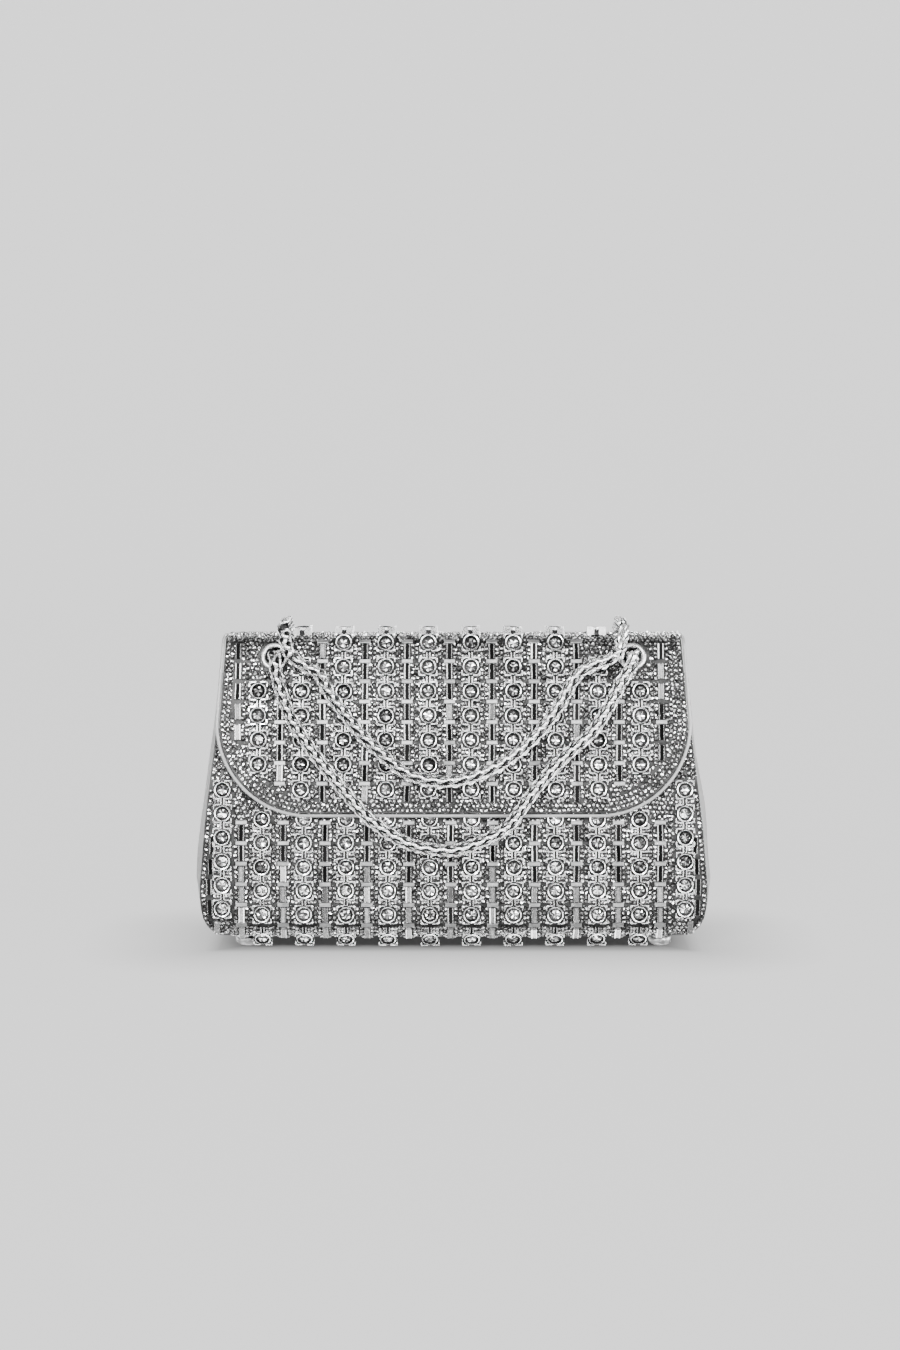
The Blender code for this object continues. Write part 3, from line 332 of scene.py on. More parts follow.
def clothFinish(name, low, high):
    mat, shader, where = newFinish(name, 0.0)
    shader.inputs["Sheen Weight"].default_value = 0.25
    parts = [where.node("ShaderNodeSeparateXYZ", {}, {"Vector": where}, i) for i in range(3)]
    threads = parts[0].math("SINE", (parts[0] + parts[1] * 0.4) * 9000.0)
    weft = parts[2].math("SINE", (parts[2] + parts[1] * 0.3) * 9000.0)
    weave = threads * weft * 0.5 + 0.5
    slub = noiseAt(where, 420, 4, 0.65)
    (weave * 0.45 + slub * 0.6).spread(0.1, 0.9).blend(grey(low), grey(high)).feed(shader, "Base Color")
    slub.spread(0.2, 0.8, 0.68, 0.9).feed(shader, "Roughness")
    bump(shader, weave + slub * 0.4, 0.3, 0.00015)
    return mat


finishes = {
    "pave": stoneFinish("paveStone", 0.07, 0.58, 0.95, 0.06),
    "paveEdge": stoneFinish("paveEdge", 0.012, 0.26, 0.9, 0.1, 0.2),
    "round": stoneFinish("roundStone", 0.05, 0.75, 0.97, 0.02),
    "dark": stoneFinish("darkBaguette", 0.002, 0.01, 0.0, 0.06, 0.03),
    "light": stoneFinish("lightBaguette", 0.12, 0.5, 0.6, 0.2),
    "claw": metalFinish("clawMetal", 0.95, 1.0, 0.2),
    "grip": metalFinish("gripMetal", 0.55, 0.75, 0.13),
    "bar": metalFinish("barMetal", 0.36, 0.48, 0.36),
    "chain": metalFinish("chainMetal", 0.92, 1.0, 0.13),
    "polish": metalFinish("polishedMetal", 0.7, 0.8, 0.28),
    "plain": metalFinish("plainMetal", 0.3, 0.4, 0.35),
    # The dark mesh finish also gives the painted shade inside the eyelets, in the chain's braid and in the
    # settings
    "mesh": metalFinish("meshMetal", 0.02, 0.075, 0.4, 0.3),
    "leather": leatherFinish("silverLeather", 0.33, 0.42, 0.25),
    "inner": leatherFinish("innerLeather", 0.2, 0.27, 0.1, 0.55),
    "lining": clothFinish("liningCloth", 0.05, 0.11),
    "board": clothFinish("boardFibre", 0.13, 0.21),
}
print("materials ready")


# Putting shapes into the scene

def place(name, mesh, body, looks, nodes=(), smoothDeg=None):
    made = bpy.data.objects.new(name, mesh)
    scene.collection.objects.link(made)
    for look in looks:
        mesh.materials.append(finishes[look])
    mesh.polygons.foreach_set("use_smooth", [smoothDeg is not None] * len(mesh.polygons))
    if smoothDeg:
        mesh.set_sharp_from_angle(angle=math.radians(smoothDeg))
    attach(made, body)
    if nodes:
        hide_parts(*nodes)
    print(name, len(mesh.polygons), "faces")


def placeBm(name, bm, body, looks, nodes=(), smoothDeg=40):
    bmesh.ops.remove_doubles(bm, verts=bm.verts[:], dist=0.000005)
    bmesh.ops.recalc_face_normals(bm, faces=bm.faces[:])
    mesh = bpy.data.meshes.new(name)
    bm.to_mesh(mesh)
    bm.free()
    place(name, mesh, body, looks, nodes, smoothDeg)


def scatter(name, sets, body, looks, nodes=(), smoothDeg=None):
    # Copies of small shapes: sets holds (template, matrices) in turn. The tone that the stones'
    # finishes read is half the copy's own and half the facet's.
    points, loops, starts, indices, tones = [], [], [], [], []
    pointCount = 0
    loopCount = 0
    for template, matrices in sets:
        if not matrices:
            continue
        template.verts.index_update()
        co = np.array([v.co for v in template.verts])
        corners = np.array([v.index for f in template.faces for v in f.verts])
        sizes = np.array([len(f.verts) for f in template.faces])
        looksAt = np.array([f.material_index for f in template.faces])
        m = np.array([np.array(matrix) for matrix in matrices])
        n = len(m)
        points.append((np.einsum("nij,vj->nvi", m[:, :3, :3], co) + m[:, None, :3, 3]).reshape(-1, 3))
        step = np.arange(n)[:, None]
        loops.append((corners[None, :] + step * len(co) + pointCount).ravel())
        first = np.concatenate(([0], np.cumsum(sizes)[:-1]))
        starts.append((first[None, :] + step * len(corners) + loopCount).ravel())
        indices.append(np.tile(looksAt, n))
        own = np.array([rng.random() for i in range(n)])
        facets = np.array([rng.random() for i in range(n * len(sizes))])
        tones.append((np.repeat(own, len(sizes)) + facets) * 0.5)
        pointCount += n * len(co)
        loopCount += n * len(corners)
    mesh = bpy.data.meshes.new(name)
    mesh.vertices.add(pointCount)
    mesh.vertices.foreach_set("co", np.concatenate(points).astype(np.float32).ravel())
    mesh.loops.add(loopCount)
    mesh.loops.foreach_set("vertex_index", np.concatenate(loops).astype(np.int32))
    allStarts = np.concatenate(starts).astype(np.int32)
    mesh.polygons.add(len(allStarts))
    mesh.polygons.foreach_set("loop_start", allStarts)
    mesh.polygons.foreach_set("material_index", np.concatenate(indices).astype(np.int32))
    tone = mesh.attributes.new("tone", "FLOAT", "FACE")
    tone.data.foreach_set("value", np.concatenate(tones).astype(np.float32))
    mesh.update(calc_edges=True)
    mesh.validate()
    place(name, mesh, body, looks, nodes, smoothDeg)


def mappedGrid(bm, columns, rows, spot):
    # A grid whose points are moved to spot(u, v), with u and v from 0 to 1.
    made = bmesh.ops.create_grid(bm, x_segments=columns, y_segments=rows, size=0.5)
    for v in made["verts"]:
        v.co = spot(v.co.x + 0.5, v.co.y + 0.5)
    return made["verts"]


def shell(columns, rows, spot, thick):
    # A sheet with real thickness: spot(u, v, deep) gives its outer and inner side.
    bm = bmesh.new()
    mappedGrid(bm, columns, rows, lambda u, v: spot(u, v, 0.0))
    mappedGrid(bm, columns, rows, lambda u, v: spot(u, v, thick))
    rims = [e for e in bm.edges if e.is_boundary]
    bmesh.ops.bridge_loops(bm, edges=rims)
    return bm


def lathe(profile, segments, matrix):
    bm = bmesh.new()
    verts = [bm.verts.new((r, 0.0, h)) for r, h in profile]
    edges = [bm.edges.new(pair) for pair in zip(verts, verts[1:])]
    bmesh.ops.spin(bm, geom=verts + edges, axis=(0, 0, 1), cent=(0, 0, 0), steps=segments,
                   angle=2 * math.pi, use_merge=True)
    bmesh.ops.remove_doubles(bm, verts=bm.verts[:], dist=0.00001)
    bmesh.ops.transform(bm, matrix=matrix, verts=bm.verts[:])
    return bm


def addBlock(bm, sizes, centre, look=0):
    move = Matrix.Translation(centre) @ Matrix.Diagonal((*sizes, 1))
    made = bmesh.ops.create_cube(bm, size=1.0, matrix=move)
    faces = {f for v in made["verts"] for f in v.link_faces}
    for face in faces:
        face.material_index = look
    return faces


def addCone(bm, segments, low, high, tall, centre, look=0):
    # A cone frustum about its centre, left open below.
    made = bmesh.ops.create_cone(bm, cap_ends=True, segments=segments, radius1=low, radius2=high, depth=tall,
                                 matrix=Matrix.Translation(centre))
    faces = {f for v in made["verts"] for f in v.link_faces}
    for face in faces:
        face.material_index = look
    below = [f for f in faces if f.normal.z < -0.9 or f.calc_center_median().z < centre[2] - tall * 0.49]
    bmesh.ops.delete(bm, geom=below, context="FACES_ONLY")
    return [f for f in faces if f.is_valid]


def topFace(faces):
    return max(faces, key=lambda f: f.calc_center_median().z)


# Templates of the small parts, each made once

def paveShape(radius, tall):
    bm = bmesh.new()
    faces = addCone(bm, 7, radius, radius * 0.68, tall, (0, 0, tall / 2), 1)
    top = bmesh.ops.poke(bm, faces=[topFace(faces)], offset=-radius * 0.12)["faces"]
    for face in top:
        face.material_index = 0
    return bm


def beadShape(radius, tall):
    bm = bmesh.new()
    addCone(bm, 4, radius, radius * 0.45, tall, (0, 0, tall / 2))
    return bm


def settingShape(s):
    bm = bmesh.new()
    half = s["width"] / 2 - s["post"] / 2
    edge = (s["width"] - s["rail"]) / 2
    arm = edge - s["slot"]
    for sx in (-1, 1):
        for sy in (-1, 1):
            addBlock(bm, (arm, s["rail"], s["tall"]), (sx * (edge - arm / 2), sy * edge, s["tall"] / 2))
            sideArm = arm * s["sideShare"]
            addBlock(bm, (s["rail"], sideArm, s["tall"]),
                     (sx * edge, sy * (edge - sideArm / 2), s["tall"] / 2))
            addCone(bm, 8, s["post"] / 2, s["post"] * 0.46, s["tall"] + s["sink"],
                    (sx * half, sy * half, (s["tall"] - s["sink"]) / 2))
            bmesh.ops.create_icosphere(bm, subdivisions=1, radius=s["bead"], matrix=Matrix.Translation(
                (sx * half, sy * half, s["tall"])) @ Matrix.Diagonal((1, 1, 0.7, 1)))
    ring = lathe([(s["ring"] - 0.3 * mm, s["tall"] * 0.1), (s["ring"], s["tall"] * 0.7),
                  (s["ring"], s["tall"]), (s["ring"] - 0.15 * mm, s["tall"] + 0.2 * mm),
                  (s["ring"] - s["band"], s["tall"] + 0.12 * mm),
                  (s["ring"] - 0.6 * mm, s["tall"] * 0.55)], 16, Matrix.Identity(4))
    # The ring's inner wall and lower outside take the dark finish: painted shade under its rim
    for face in ring.faces:
        middle = face.calc_center_median()
        if middle.xy.length < s["ring"] - s["band"] or middle.z < s["tall"] * 0.6:
            face.material_index = 2
    holder = bpy.data.meshes.new("ringHolder")
    ring.to_mesh(holder)
    ring.free()
    bm.from_mesh(holder)
    bpy.data.meshes.remove(holder)
    # A low plate in the dark finish fills the setting's floor: painted shade between the ring and the
    # corners
    plate = s["width"] * s["plateShare"]
    addBlock(bm, (plate, plate, s["plate"]), (0, 0, s["plate"] / 2), 2)
    faces = addCone(bm, 14, s["stone"] + 0.1 * mm, s["stone"] * 0.62, s["crown"],
                    (0, 0, s["tall"] * 0.7 + s["crown"] / 2), 1)
    table = topFace(faces)
    walls = [f for f in faces if f != table]
    # Every second corner of the table is lower and further out, so facets look in many directions
    for v in list(table.verts)[::2]:
        v.co = (v.co.x * s["spread"], v.co.y * s["spread"], v.co.z - s["dip"])
    bmesh.ops.triangulate(bm, faces=walls)
    fan = bmesh.ops.poke(bm, faces=[table], offset=-s["dish"])["faces"]
    bmesh.ops.poke(bm, faces=fan, offset=s["peak"])
    for face in bm.faces:
        middle = face.calc_center_median()
        if middle.xy.length < s["stone"] and middle.z > s["tall"] * 0.62:
            face.material_index = 1
    return bm


def baguetteShape(s):
    bm = bmesh.new()
    tall = s["tall"] + s["sink"]
    faces = addBlock(bm, (s["width"], s["long"], tall), (0, 0, (s["tall"] - s["sink"]) / 2), 1)
    bmesh.ops.inset_region(bm, faces=[topFace(faces)], thickness=s["step"], depth=s["step"] * 0.8)
    for side, wide in ((-1, s["frame"]), (1, s["thin"])):
        addBlock(bm, (wide, s["long"] * 1.04, tall + s["proud"]),
                 (side * (s["width"] + wide) / 2, 0, (s["tall"] - s["sink"] + s["proud"]) / 2), 0)
    return bm


def barShape(s):
    bm = bmesh.new()
    addBlock(bm, (s["long"], s["wide"], s["tall"] + s["sink"]), (0, 0, (s["tall"] - s["sink"]) / 2))
    tops = [e for e in bm.edges if all(v.co.z > 0 for v in e.verts)]
    bmesh.ops.bevel(bm, geom=tops, offset=s["soft"], segments=2, profile=0.5, affect="EDGES", material=-1)
    return bm


def linkShape(s):
    bm = bmesh.new()
    for side in (-1, 1):
        addBlock(bm, (s["wide"], s["long"], s["tall"]), (side * s["apart"] / 2, 0, s["tall"] / 2))
    return bm


setting = dict(lengths(width=7.8, post=1.0, tall=2.2, sink=0.3, bead=0.62, ring=3.4, stone=2.65, crown=0.75,
                       rail=0.42, slot=1.0, band=0.45, plate=0.7, dip=0.34, dish=0.12, peak=0.13),
               sideShare=0.7, plateShare=0.88, spread=1.2)
flapSetting = dict(setting, tall=3.3 * mm)
baguette = lengths(width=1.5, long=6.2, tall=0.75, sink=0.4, step=0.2, frame=0.5, thin=0.25, proud=0.15,
                   pitch=8.55, turned=20)
bar = lengths(long=4.6, wide=1.7, tall=0.55, sink=0.2, soft=0.2)
joinBars = lengths(wide=0.45, long=2.9, tall=1.0, apart=1.3)
# Tilt in degrees and turn in radians by which copies differ
shake = {"setting": (1.6, 0.03), "baguette": (1.2, 0.03)}
pave = dict(lengths(radius=1.0, tall=0.66, borderPitch=1.9, fillX=1.84, fillD=1.8, bead=0.32, beadTall=0.95,
                    beadAside=0.95, sink=0.4), turn=math.pi, tilt=8, beadTilt=5)

paveTemplate = paveShape(pave["radius"], pave["tall"])
beadTemplate = beadShape(pave["bead"], pave["beadTall"])
baguetteTemplate = baguetteShape(baguette)
barTemplate = barShape(bar)
joinTemplate = linkShape(joinBars)


# Layout of the stones on one face. Clearances are between the middles of two parts.

clear = lengths(cellX=1.3, cellD=3.6, cellHoleX=1.4, cellHoleD=2.9, borderX=2.2, borderD=4.2, hole=0.9,
                settingEdge=0.6, joinD=5.1, fillX=4.95, fillD=4.2, fillJoinX=4.5, fillJoinD=1.5, bar=4,
                barHoleX=5, barHoleD=1, bodyBorder=4.5, same=0.1, nextLow=9, nextHigh=13, lip=0.3,
                middle=0.9, bodyLow=5, sides=4, sideIn=3.9)
# Rows of stones along the edges, in millimetres from the edge
edgeRows = {"flap": (1.35, 3.3, 5.25), "body": (1.3, 3.25)}
joinStones = (-3.2 * mm, -1.75 * mm, 1.75 * mm, 3.2 * mm)
cellStones = {"x": (-4.05 * mm, -2.25 * mm, 2.25 * mm, 4.05 * mm),
              "d": (-2.85 * mm, -0.95 * mm, 0.95 * mm, 2.85 * mm)}
rowsOf = lengths(flapFirst=9.8, flapPitch=10.17, flapBaguette=8.0, turn=4.1, bodyFirst=15.9, bodyPitch=9.86,
                 outerRise=2.2, bodyBaguette=6.9, sideRise=3)
# Columns, in millimetres
columnsOf = {"flap": 17.6, "flapShift": -1.7, "body": 17.4, "bodyShift": -1.2, "bodyOuter": 96}


def columnX(face, place):
    return (place * columnsOf[face] + columnsOf[face + "Shift"]) * mm


def near(places, x, d, byX, byD):
    # Whether any of the (x, d) or (x, d, radius) places is close.
    return any(abs(x - p[0]) < sum(p[2:]) + byX and abs(d - p[1]) < sum(p[2:]) + byD for p in places)


def layOut(face):
    settings = face["settings"]
    inset = face["inset"]
    band = face["band"]
    cells = []
    for x in face["baguetteColumns"]:
        for d in face["baguetteRows"]:
            edge = min(inset(x + sx * clear["cellX"], d + sd * clear["cellD"])
                       for sx in (-1, 1) for sd in (-1, 1))
            if near(face["holes"], x, d, clear["cellHoleX"], clear["cellHoleD"]):
                continue
            if edge >= face["cellBand"]:
                cells.append((x, d))

    stones = [p for p in face["border"] if not near(cells, *p, clear["borderX"], clear["borderD"])]
    reach = setting["width"] / 2 + clear["settingEdge"]

    def free(x, d):
        if near(settings, x, d, reach, reach):
            return False
        if any((x - hx) ** 2 + (d - hd) ** 2 < (r + clear["hole"]) ** 2 for hx, hd, r in face["holes"]):
            return False
        return not (d > face["shownTo"] and abs(x) < face["shownFrom"])

    joins = []
    for sx, sd in settings:
        if any(abs(sx - x) < clear["same"] and clear["nextLow"] < d - sd < clear["nextHigh"]
               for x, d in settings):
            joins.append((sx, sd + clear["joinD"]))
            stones += [(sx + dx, sd + clear["joinD"]) for dx in joinStones]
    for xb, db in cells:
        for x in [xb + dx for dx in cellStones["x"]]:
            for d in [db + dd for dd in cellStones["d"]]:
                if free(x, d) and inset(x, d) > band - clear["lip"]:
                    stones.append((x, d))
    for r in range(int(face["high"] / pave["fillD"])):
        d = (r + 0.5) * pave["fillD"]
        if d < face["low"]:
            continue
        count = int(face["half"](d) / pave["fillX"]) + 1
        for c in range(-count, count + 1):
            x = (c + 0.5 * (r % 2)) * pave["fillX"]
            if (inset(x, d) >= band and free(x, d) and not near(cells, x, d, clear["fillX"], clear["fillD"])
                    and not near(joins, x, d, clear["fillJoinX"], clear["fillJoinD"])):
                stones.append((x, d))
    ends = {(round(x, 5), round(d + side * baguette["pitch"] / 2, 5)) for x, d in cells for side in (-1, 1)}
    bars = [(x, d) for x, d in sorted(ends)
            if min(inset(x - clear["bar"], d), inset(x + clear["bar"], d)) > band
            and not near(face["holes"], x, d, clear["barHoleX"], clear["barHoleD"])]
    return stones, cells, joins, bars


def rotated(deg, axis):
    return Matrix.Rotation(math.radians(deg), 4, axis)


def shaken(matrix, tilt, turn):
    a = rng.uniform(-turn, turn)
    lean = rotated(rng.gauss(0, tilt), "X") @ rotated(rng.gauss(0, tilt), "Y")
    return matrix @ lean @ Matrix.Rotation(a, 4, "Z")


def dress(label, face, body):
    line = face["line"]
    stoneSpots, cells, joinSpots, barSpots = layOut(face)
    stones = [shaken(line.stand(x, d, -pave["sink"]), pave["tilt"], pave["turn"]) for x, d in stoneSpots]
    aside = pave["beadAside"]
    beads = [shaken(line.stand(x + aside, d + aside, -pave["sink"]), pave["beadTilt"], pave["turn"])
             for x, d in stoneSpots]
    scatter(label + "PaveStones", [(paveTemplate, stones)], body, ["pave", "paveEdge"])
    scatter(label + "PaveClaws", [(beadTemplate, beads)], body, ["grip"])
    settings = []
    for x, d in face["settings"]:
        lean = rotated(face["turnLean"] if d < rowsOf["turn"] + mm else 0, "X")
        settings.append(shaken(line.stand(x, d) @ lean, *shake["setting"]))
    joins = [line.stand(x, d) for x, d in joinSpots]
    scatter(label + "Settings", [(face["template"], settings), (joinTemplate, joins)], body,
            ["claw", "round", "mesh"])
    # Baguettes on the left are turned, so that the frame's wide side faces the middle
    dark = []
    light = []
    for x, d in cells + face["sideCells"]:
        turn = math.pi if x < -baguette["turned"] else 0.0
        spot = shaken(line.stand(x, d), *shake["baguette"]) @ Matrix.Rotation(turn, 4, "Z")
        (dark if rng.random() < face["darkShare"](x, d) else light).append(spot)
    bars = [line.stand(x, d) for x, d in barSpots]
    scatter(label + "DarkBaguettes", [(baguetteTemplate, dark)], body, ["grip", "dark"])
    scatter(label + "LightBaguettes", [(baguetteTemplate, light)], body, ["grip", "light"])
    scatter(label + "Bars", [(barTemplate, bars)], body, ["bar"])


def evenly(points, pitch):
    # Places at an even pitch along a line of (x, d) points.
    points = [Vector(p) for p in points]
    found = []
    ahead = pitch / 2
    for a, b in zip(points, points[1:]):
        step = (b - a).length
        while ahead <= step:
            found.append(tuple(a.lerp(b, ahead / step)))
            ahead += pitch
        ahead -= step
    return found


def flapOutline(inset):
    # Half of the flap's outline as (x, d) places, from the seam down to the hem's middle.
    corner = flapShape["corner"]
    places = []
    for i in range(30):
        d = flapLine.length - (flapLine.length - cornerD) * i / 29
        places.append((flapHalf(flapLine.at(d)[0].y) - inset, d))
    for i in range(1, 25):
        a = math.pi / 2 * i / 24
        places.append((flatHalf + (corner - inset) * math.cos(a), cornerD - (cornerD - inset) * math.sin(a)))
    return places + [(0.0, inset)]


def flapBorder():
    places = []
    for inset in edgeRows["flap"]:
        half = evenly(flapOutline(inset * mm), pave["borderPitch"])
        places += half + [(-x, d) for x, d in half if x > clear["middle"]]
    return places


eyelets = dict(lengths(outer=5.9, hole=3.9, wall=0.4, flange=1.0), front=(74.4 * mm, 121.6 * mm),
               back=(72.4 * mm, 115.5 * mm))
rearLine = Line(list(reversed(flapLine.points)), 1)
frontEyeD = flapLine.heightAt(eyelets["front"][1])
backEyeD = flapLine.length - rearLine.heightAt(eyelets["back"][1])
flapSettings = []
for k in range(10):
    # The outer columns are cut short by the round corners and the eyelets
    rows = (1, 2, 3, 4) if k in (0, 9) else (0, 1, 2, 3, 4, 5, 7) if k in (1, 8) else range(8)
    heights = [rowsOf["flapFirst"] + rowsOf["flapPitch"] * row for row in rows]
    flapSettings += [(columnX("flap", k - 4.5), d) for d in heights]
eyePlaces = ((eyelets["front"][0], frontEyeD), (eyelets["back"][0], backEyeD))
flapFace = {
    "line": flapLine, "template": settingShape(flapSetting), "turnLean": 0, "settings": flapSettings,
    "inset": flapInset, "half": lambda d: flapHalf(flapLine.at(d)[0].y), "border": flapBorder(),
    "band": 6.5 * mm, "cellBand": 3.7 * mm, "low": 0.0, "high": flapLine.length,
    "shownTo": 1.0, "shownFrom": 0.0,
    "baguetteColumns": [columnX("flap", k - 5) for k in range(11)],
    "baguetteRows": [rowsOf["flapBaguette"] + baguette["pitch"] * j for j in range(8)],
    "sideCells": [], "darkShare": lambda x, d: 0.45 if x < -60 * mm else 0.85,
    "holes": [(side * x, d, eyelets["outer"]) for x, d in eyePlaces for side in (-1, 1)],
}


def bodyFace(line, rows, outerRows, baguetteCount, high, shownTo=1.0):
    # The row at the turn under the bag leans forward, and the covered middle above shownTo stays bare.
    settings = []
    for k in range(12):
        outer = k in (0, 11)
        x = columnX("body", k - 5.5)
        if outer:
            x = math.copysign(columnsOf["bodyOuter"] * mm, x)
        for row in range(int(outer), outerRows if outer else rows):
            d = rowsOf["bodyFirst"] + rowsOf["bodyPitch"] * (row - 1) + (rowsOf["outerRise"] if outer else 0)
            settings.append((x, d if row else rowsOf["turn"]))

    def half(d):
        return bodyHalf(line.at(d)[0].y)

    border = []
    sides = [rowsOf["bodyBaguette"] + rowsOf["sideRise"] + baguette["pitch"] * j for j in range(5)]
    mirrored = [(abs(x), d) for x, d in settings]
    for inset in edgeRows["body"]:
        edge = [(half(high * i / 59) - inset * mm, high * i / 59) for i in range(60)]
        places = [p for p in evenly(edge, pave["borderPitch"]) if p[1] > clear["bodyLow"]]
        if inset == edgeRows["body"][1]:
            low = sides[0] - clear["sides"]
            places = [p for p in places if not low < p[1] < sides[-1] + clear["sides"]]
        places = [p for p in places if not near(mirrored, *p, clear["bodyBorder"], clear["bodyBorder"])]
        border += places + [(-x, d) for x, d in places]
    return {
        "line": line, "template": settingShape(setting), "turnLean": -22, "settings": settings,
        "inset": lambda x, d: half(d) - abs(x), "half": half, "border": border,
        "band": 4.6 * mm, "cellBand": 4.6 * mm, "low": 5.6 * mm, "high": high,
        "shownTo": shownTo, "shownFrom": 78 * mm,
        "baguetteColumns": [columnX("body", k - 5) for k in range(11)],
        "baguetteRows": [rowsOf["bodyBaguette"] + baguette["pitch"] * j for j in range(baguetteCount)],
        "sideCells": [(side * (half(d) - clear["sideIn"]), d) for side in (-1, 1) for d in sides],
        "holes": [],
        "darkShare": lambda x, d: 1.0 if abs(x) > 100 * mm else 0.04 if d < 28 * mm else 0.8,
    }


dress("flap", flapFace, "flap")
dress("front", bodyFace(frontLine, 6, 7, 6, frontLine.length, frontLine.heightAt(66 * mm)), "root")
# The top row is left off the back, where the open flap comes down
dress("back", bodyFace(backLine, 10, 9, 11, backLine.length - pave["fillD"]), "root")
print("stones laid")


# Backing sheets, panels and soft layers

def under(line, x, d, deep):
    # The place at this depth under a face.
    p = line.stand(0.0, d, -deep).to_translation()
    return onBody(x, p.y - shiftY, p.z)


def bodySheet(line, margin, inset):
    def spot(u, v, deep):
        d = line.length * v
        return under(line, (2 * u - 1) * (bodyHalf(line.at(d)[0].y) - margin), d, inset + deep)
    return spot


def flapLayer(margin, inset, hemLift):
    # Rows are closer near the hem, where the corners are round.
    def spot(u, v, deep):
        d = hemLift + (flapLine.length - hemLift) * v ** 1.6
        x = (2 * u - 1) * flapHalfAt((d - hemLift) * (1 + hemLift / flapLine.length), margin)
        return under(flapLine, x, d, inset + deep)
    return spot


eyeHoles = bmesh.new()
for line, (x, z) in ((flapLine, eyelets["front"]), (rearLine, eyelets["back"])):
    for side in (-1, 1):
        bmesh.ops.create_cone(eyeHoles, cap_ends=True, segments=32, radius1=eyelets["hole"] + 0.5 * mm,
                              radius2=eyelets["hole"] + 0.5 * mm, depth=30 * mm,
                              matrix=line.stand(side * x, line.heightAt(z), -8 * mm))


def withHoles(bm):
    # Cuts the eyelets' holes out of a closed layer of the flap.
    bmesh.ops.recalc_face_normals(bm, faces=bm.faces[:])
    pair = []
    for label, shape in (("layer", bm), ("holes", eyeHoles)):
        mesh = bpy.data.meshes.new(label)
        shape.to_mesh(mesh)
        pair.append(bpy.data.objects.new(label, mesh))
        scene.collection.objects.link(pair[-1])
    cut = pair[0].modifiers.new("cut", "BOOLEAN")
    cut.operation = "DIFFERENCE"
    cut.solver = "EXACT"
    cut.object = pair[1]
    bm.clear()
    bm.from_object(pair[0], bpy.context.evaluated_depsgraph_get())
    for made in pair:
        bpy.data.objects.remove(made, do_unlink=True)
    return bm


def flapSheet(name, margin, inset, hemLift, thick, look, node):
    layer = withHoles(shell(48, 72, flapLayer(margin, inset, hemLift), thick))
    placeBm(name, layer, "flap", [look], [node])


def bodyLayer(name, line, across, margin, inset, thick, look, node):
    placeBm(name, shell(across, 48, bodySheet(line, margin, inset), thick), "root", [look], [node])


panels = {"frontTop": 108 * mm, "inset": bag["sheet"] + bag["gap"], "margin": 1.2 * mm}
backing = bag["sheet"] - pave["sink"]
flapSheet("flapBacking", 0.0, pave["sink"], 0.0, backing, "mesh", "flap_crystal_sheet")
bodyLayer("frontBacking", frontLine, 40, 0.0, pave["sink"], backing, "mesh", "front_crystal_sheet")
bodyLayer("backBacking", backLine, 40, 0.0, pave["sink"], backing, "mesh", "back_crystal_sheet")
print("backing sheets ready")

bodyLayer("frontPanel", faceLine(frontShares, -1, panels["frontTop"]), 36, panels["margin"], panels["inset"],
          bag["panel"], "inner", "front_panel")
bodyLayer("backPanel", backLine, 36, panels["margin"], panels["inset"], bag["panel"], "inner", "back_panel")
liningInset = panels["inset"] + bag["board"] + bag["gap"]
flapSheet("flapLining", flapShape["margin"], liningInset, flapShape["hemLift"], bag["lining"], "lining",
          "flap_lining")
flapSheet("flapBoard", flapShape["margin"], panels["inset"], flapShape["hemLift"], bag["board"], "board",
          "flap_board")


def squarish(a, power):
    # A place on a rounded rectangle of half width and half depth 1.
    return [math.copysign(abs(t) ** power, t) for t in (math.cos(a), math.sin(a))]


base = dict(lengths(halfLong=96.5, halfDeep=20.2, low=4.6, thick=1.2), power=0.35)
bm = bmesh.new()
for v in bmesh.ops.create_circle(bm, cap_ends=True, segments=96, radius=1.0)["verts"]:
    c, d = squarish(math.atan2(v.co.y, v.co.x), base["power"])
    v.co = onBody(base["halfLong"] * c, base["halfDeep"] * d, base["low"])
grown = bmesh.ops.extrude_face_region(bm, geom=bm.faces[:])["geom"]
bmesh.ops.translate(bm, verts=[g for g in grown if isinstance(g, bmesh.types.BMVert)],
                    vec=(0, 0, base["thick"]))
placeBm("basePanel", bm, "root", ["leather"], ["base_panel"])

binding = lengths(thick=0.5, drop=3)
wrap = bag["gap"] + binding["thick"]
mouthY = -depth(frontShares, panels["frontTop"])
lowZ = panels["frontTop"] - binding["drop"]
lowY = -depth(frontShares, lowZ)
outerIn = panels["inset"] - wrap
innerIn = panels["inset"] + bag["panel"] + wrap
section = [(lowY + outerIn, lowZ)]
middle = (outerIn + innerIn) / 2
for i in range(9):
    a = math.pi * i / 8
    section.append((mouthY + middle - (innerIn - outerIn) / 2 * math.cos(a),
                    panels["frontTop"] - wrap + 2 * wrap * math.sin(a)))
section.append((lowY + innerIn, lowZ))
bindingLine = Line(section, -1)
bindingHalf = bodyHalf(panels["frontTop"]) - panels["margin"]


def bindingSpot(u, v, deep):
    return under(bindingLine, (2 * u - 1) * bindingHalf, bindingLine.length * v, deep)


placeBm("mouthBinding", shell(36, 20, bindingSpot, binding["thick"]), "root", ["leather"],
        ["mouth_binding"], 60)

pouch = dict(lengths(low=9.4, top=102, inset=3.6, side=2.6, fold=0.5, thick=0.8), power=0.36, around=72,
             rows=30)


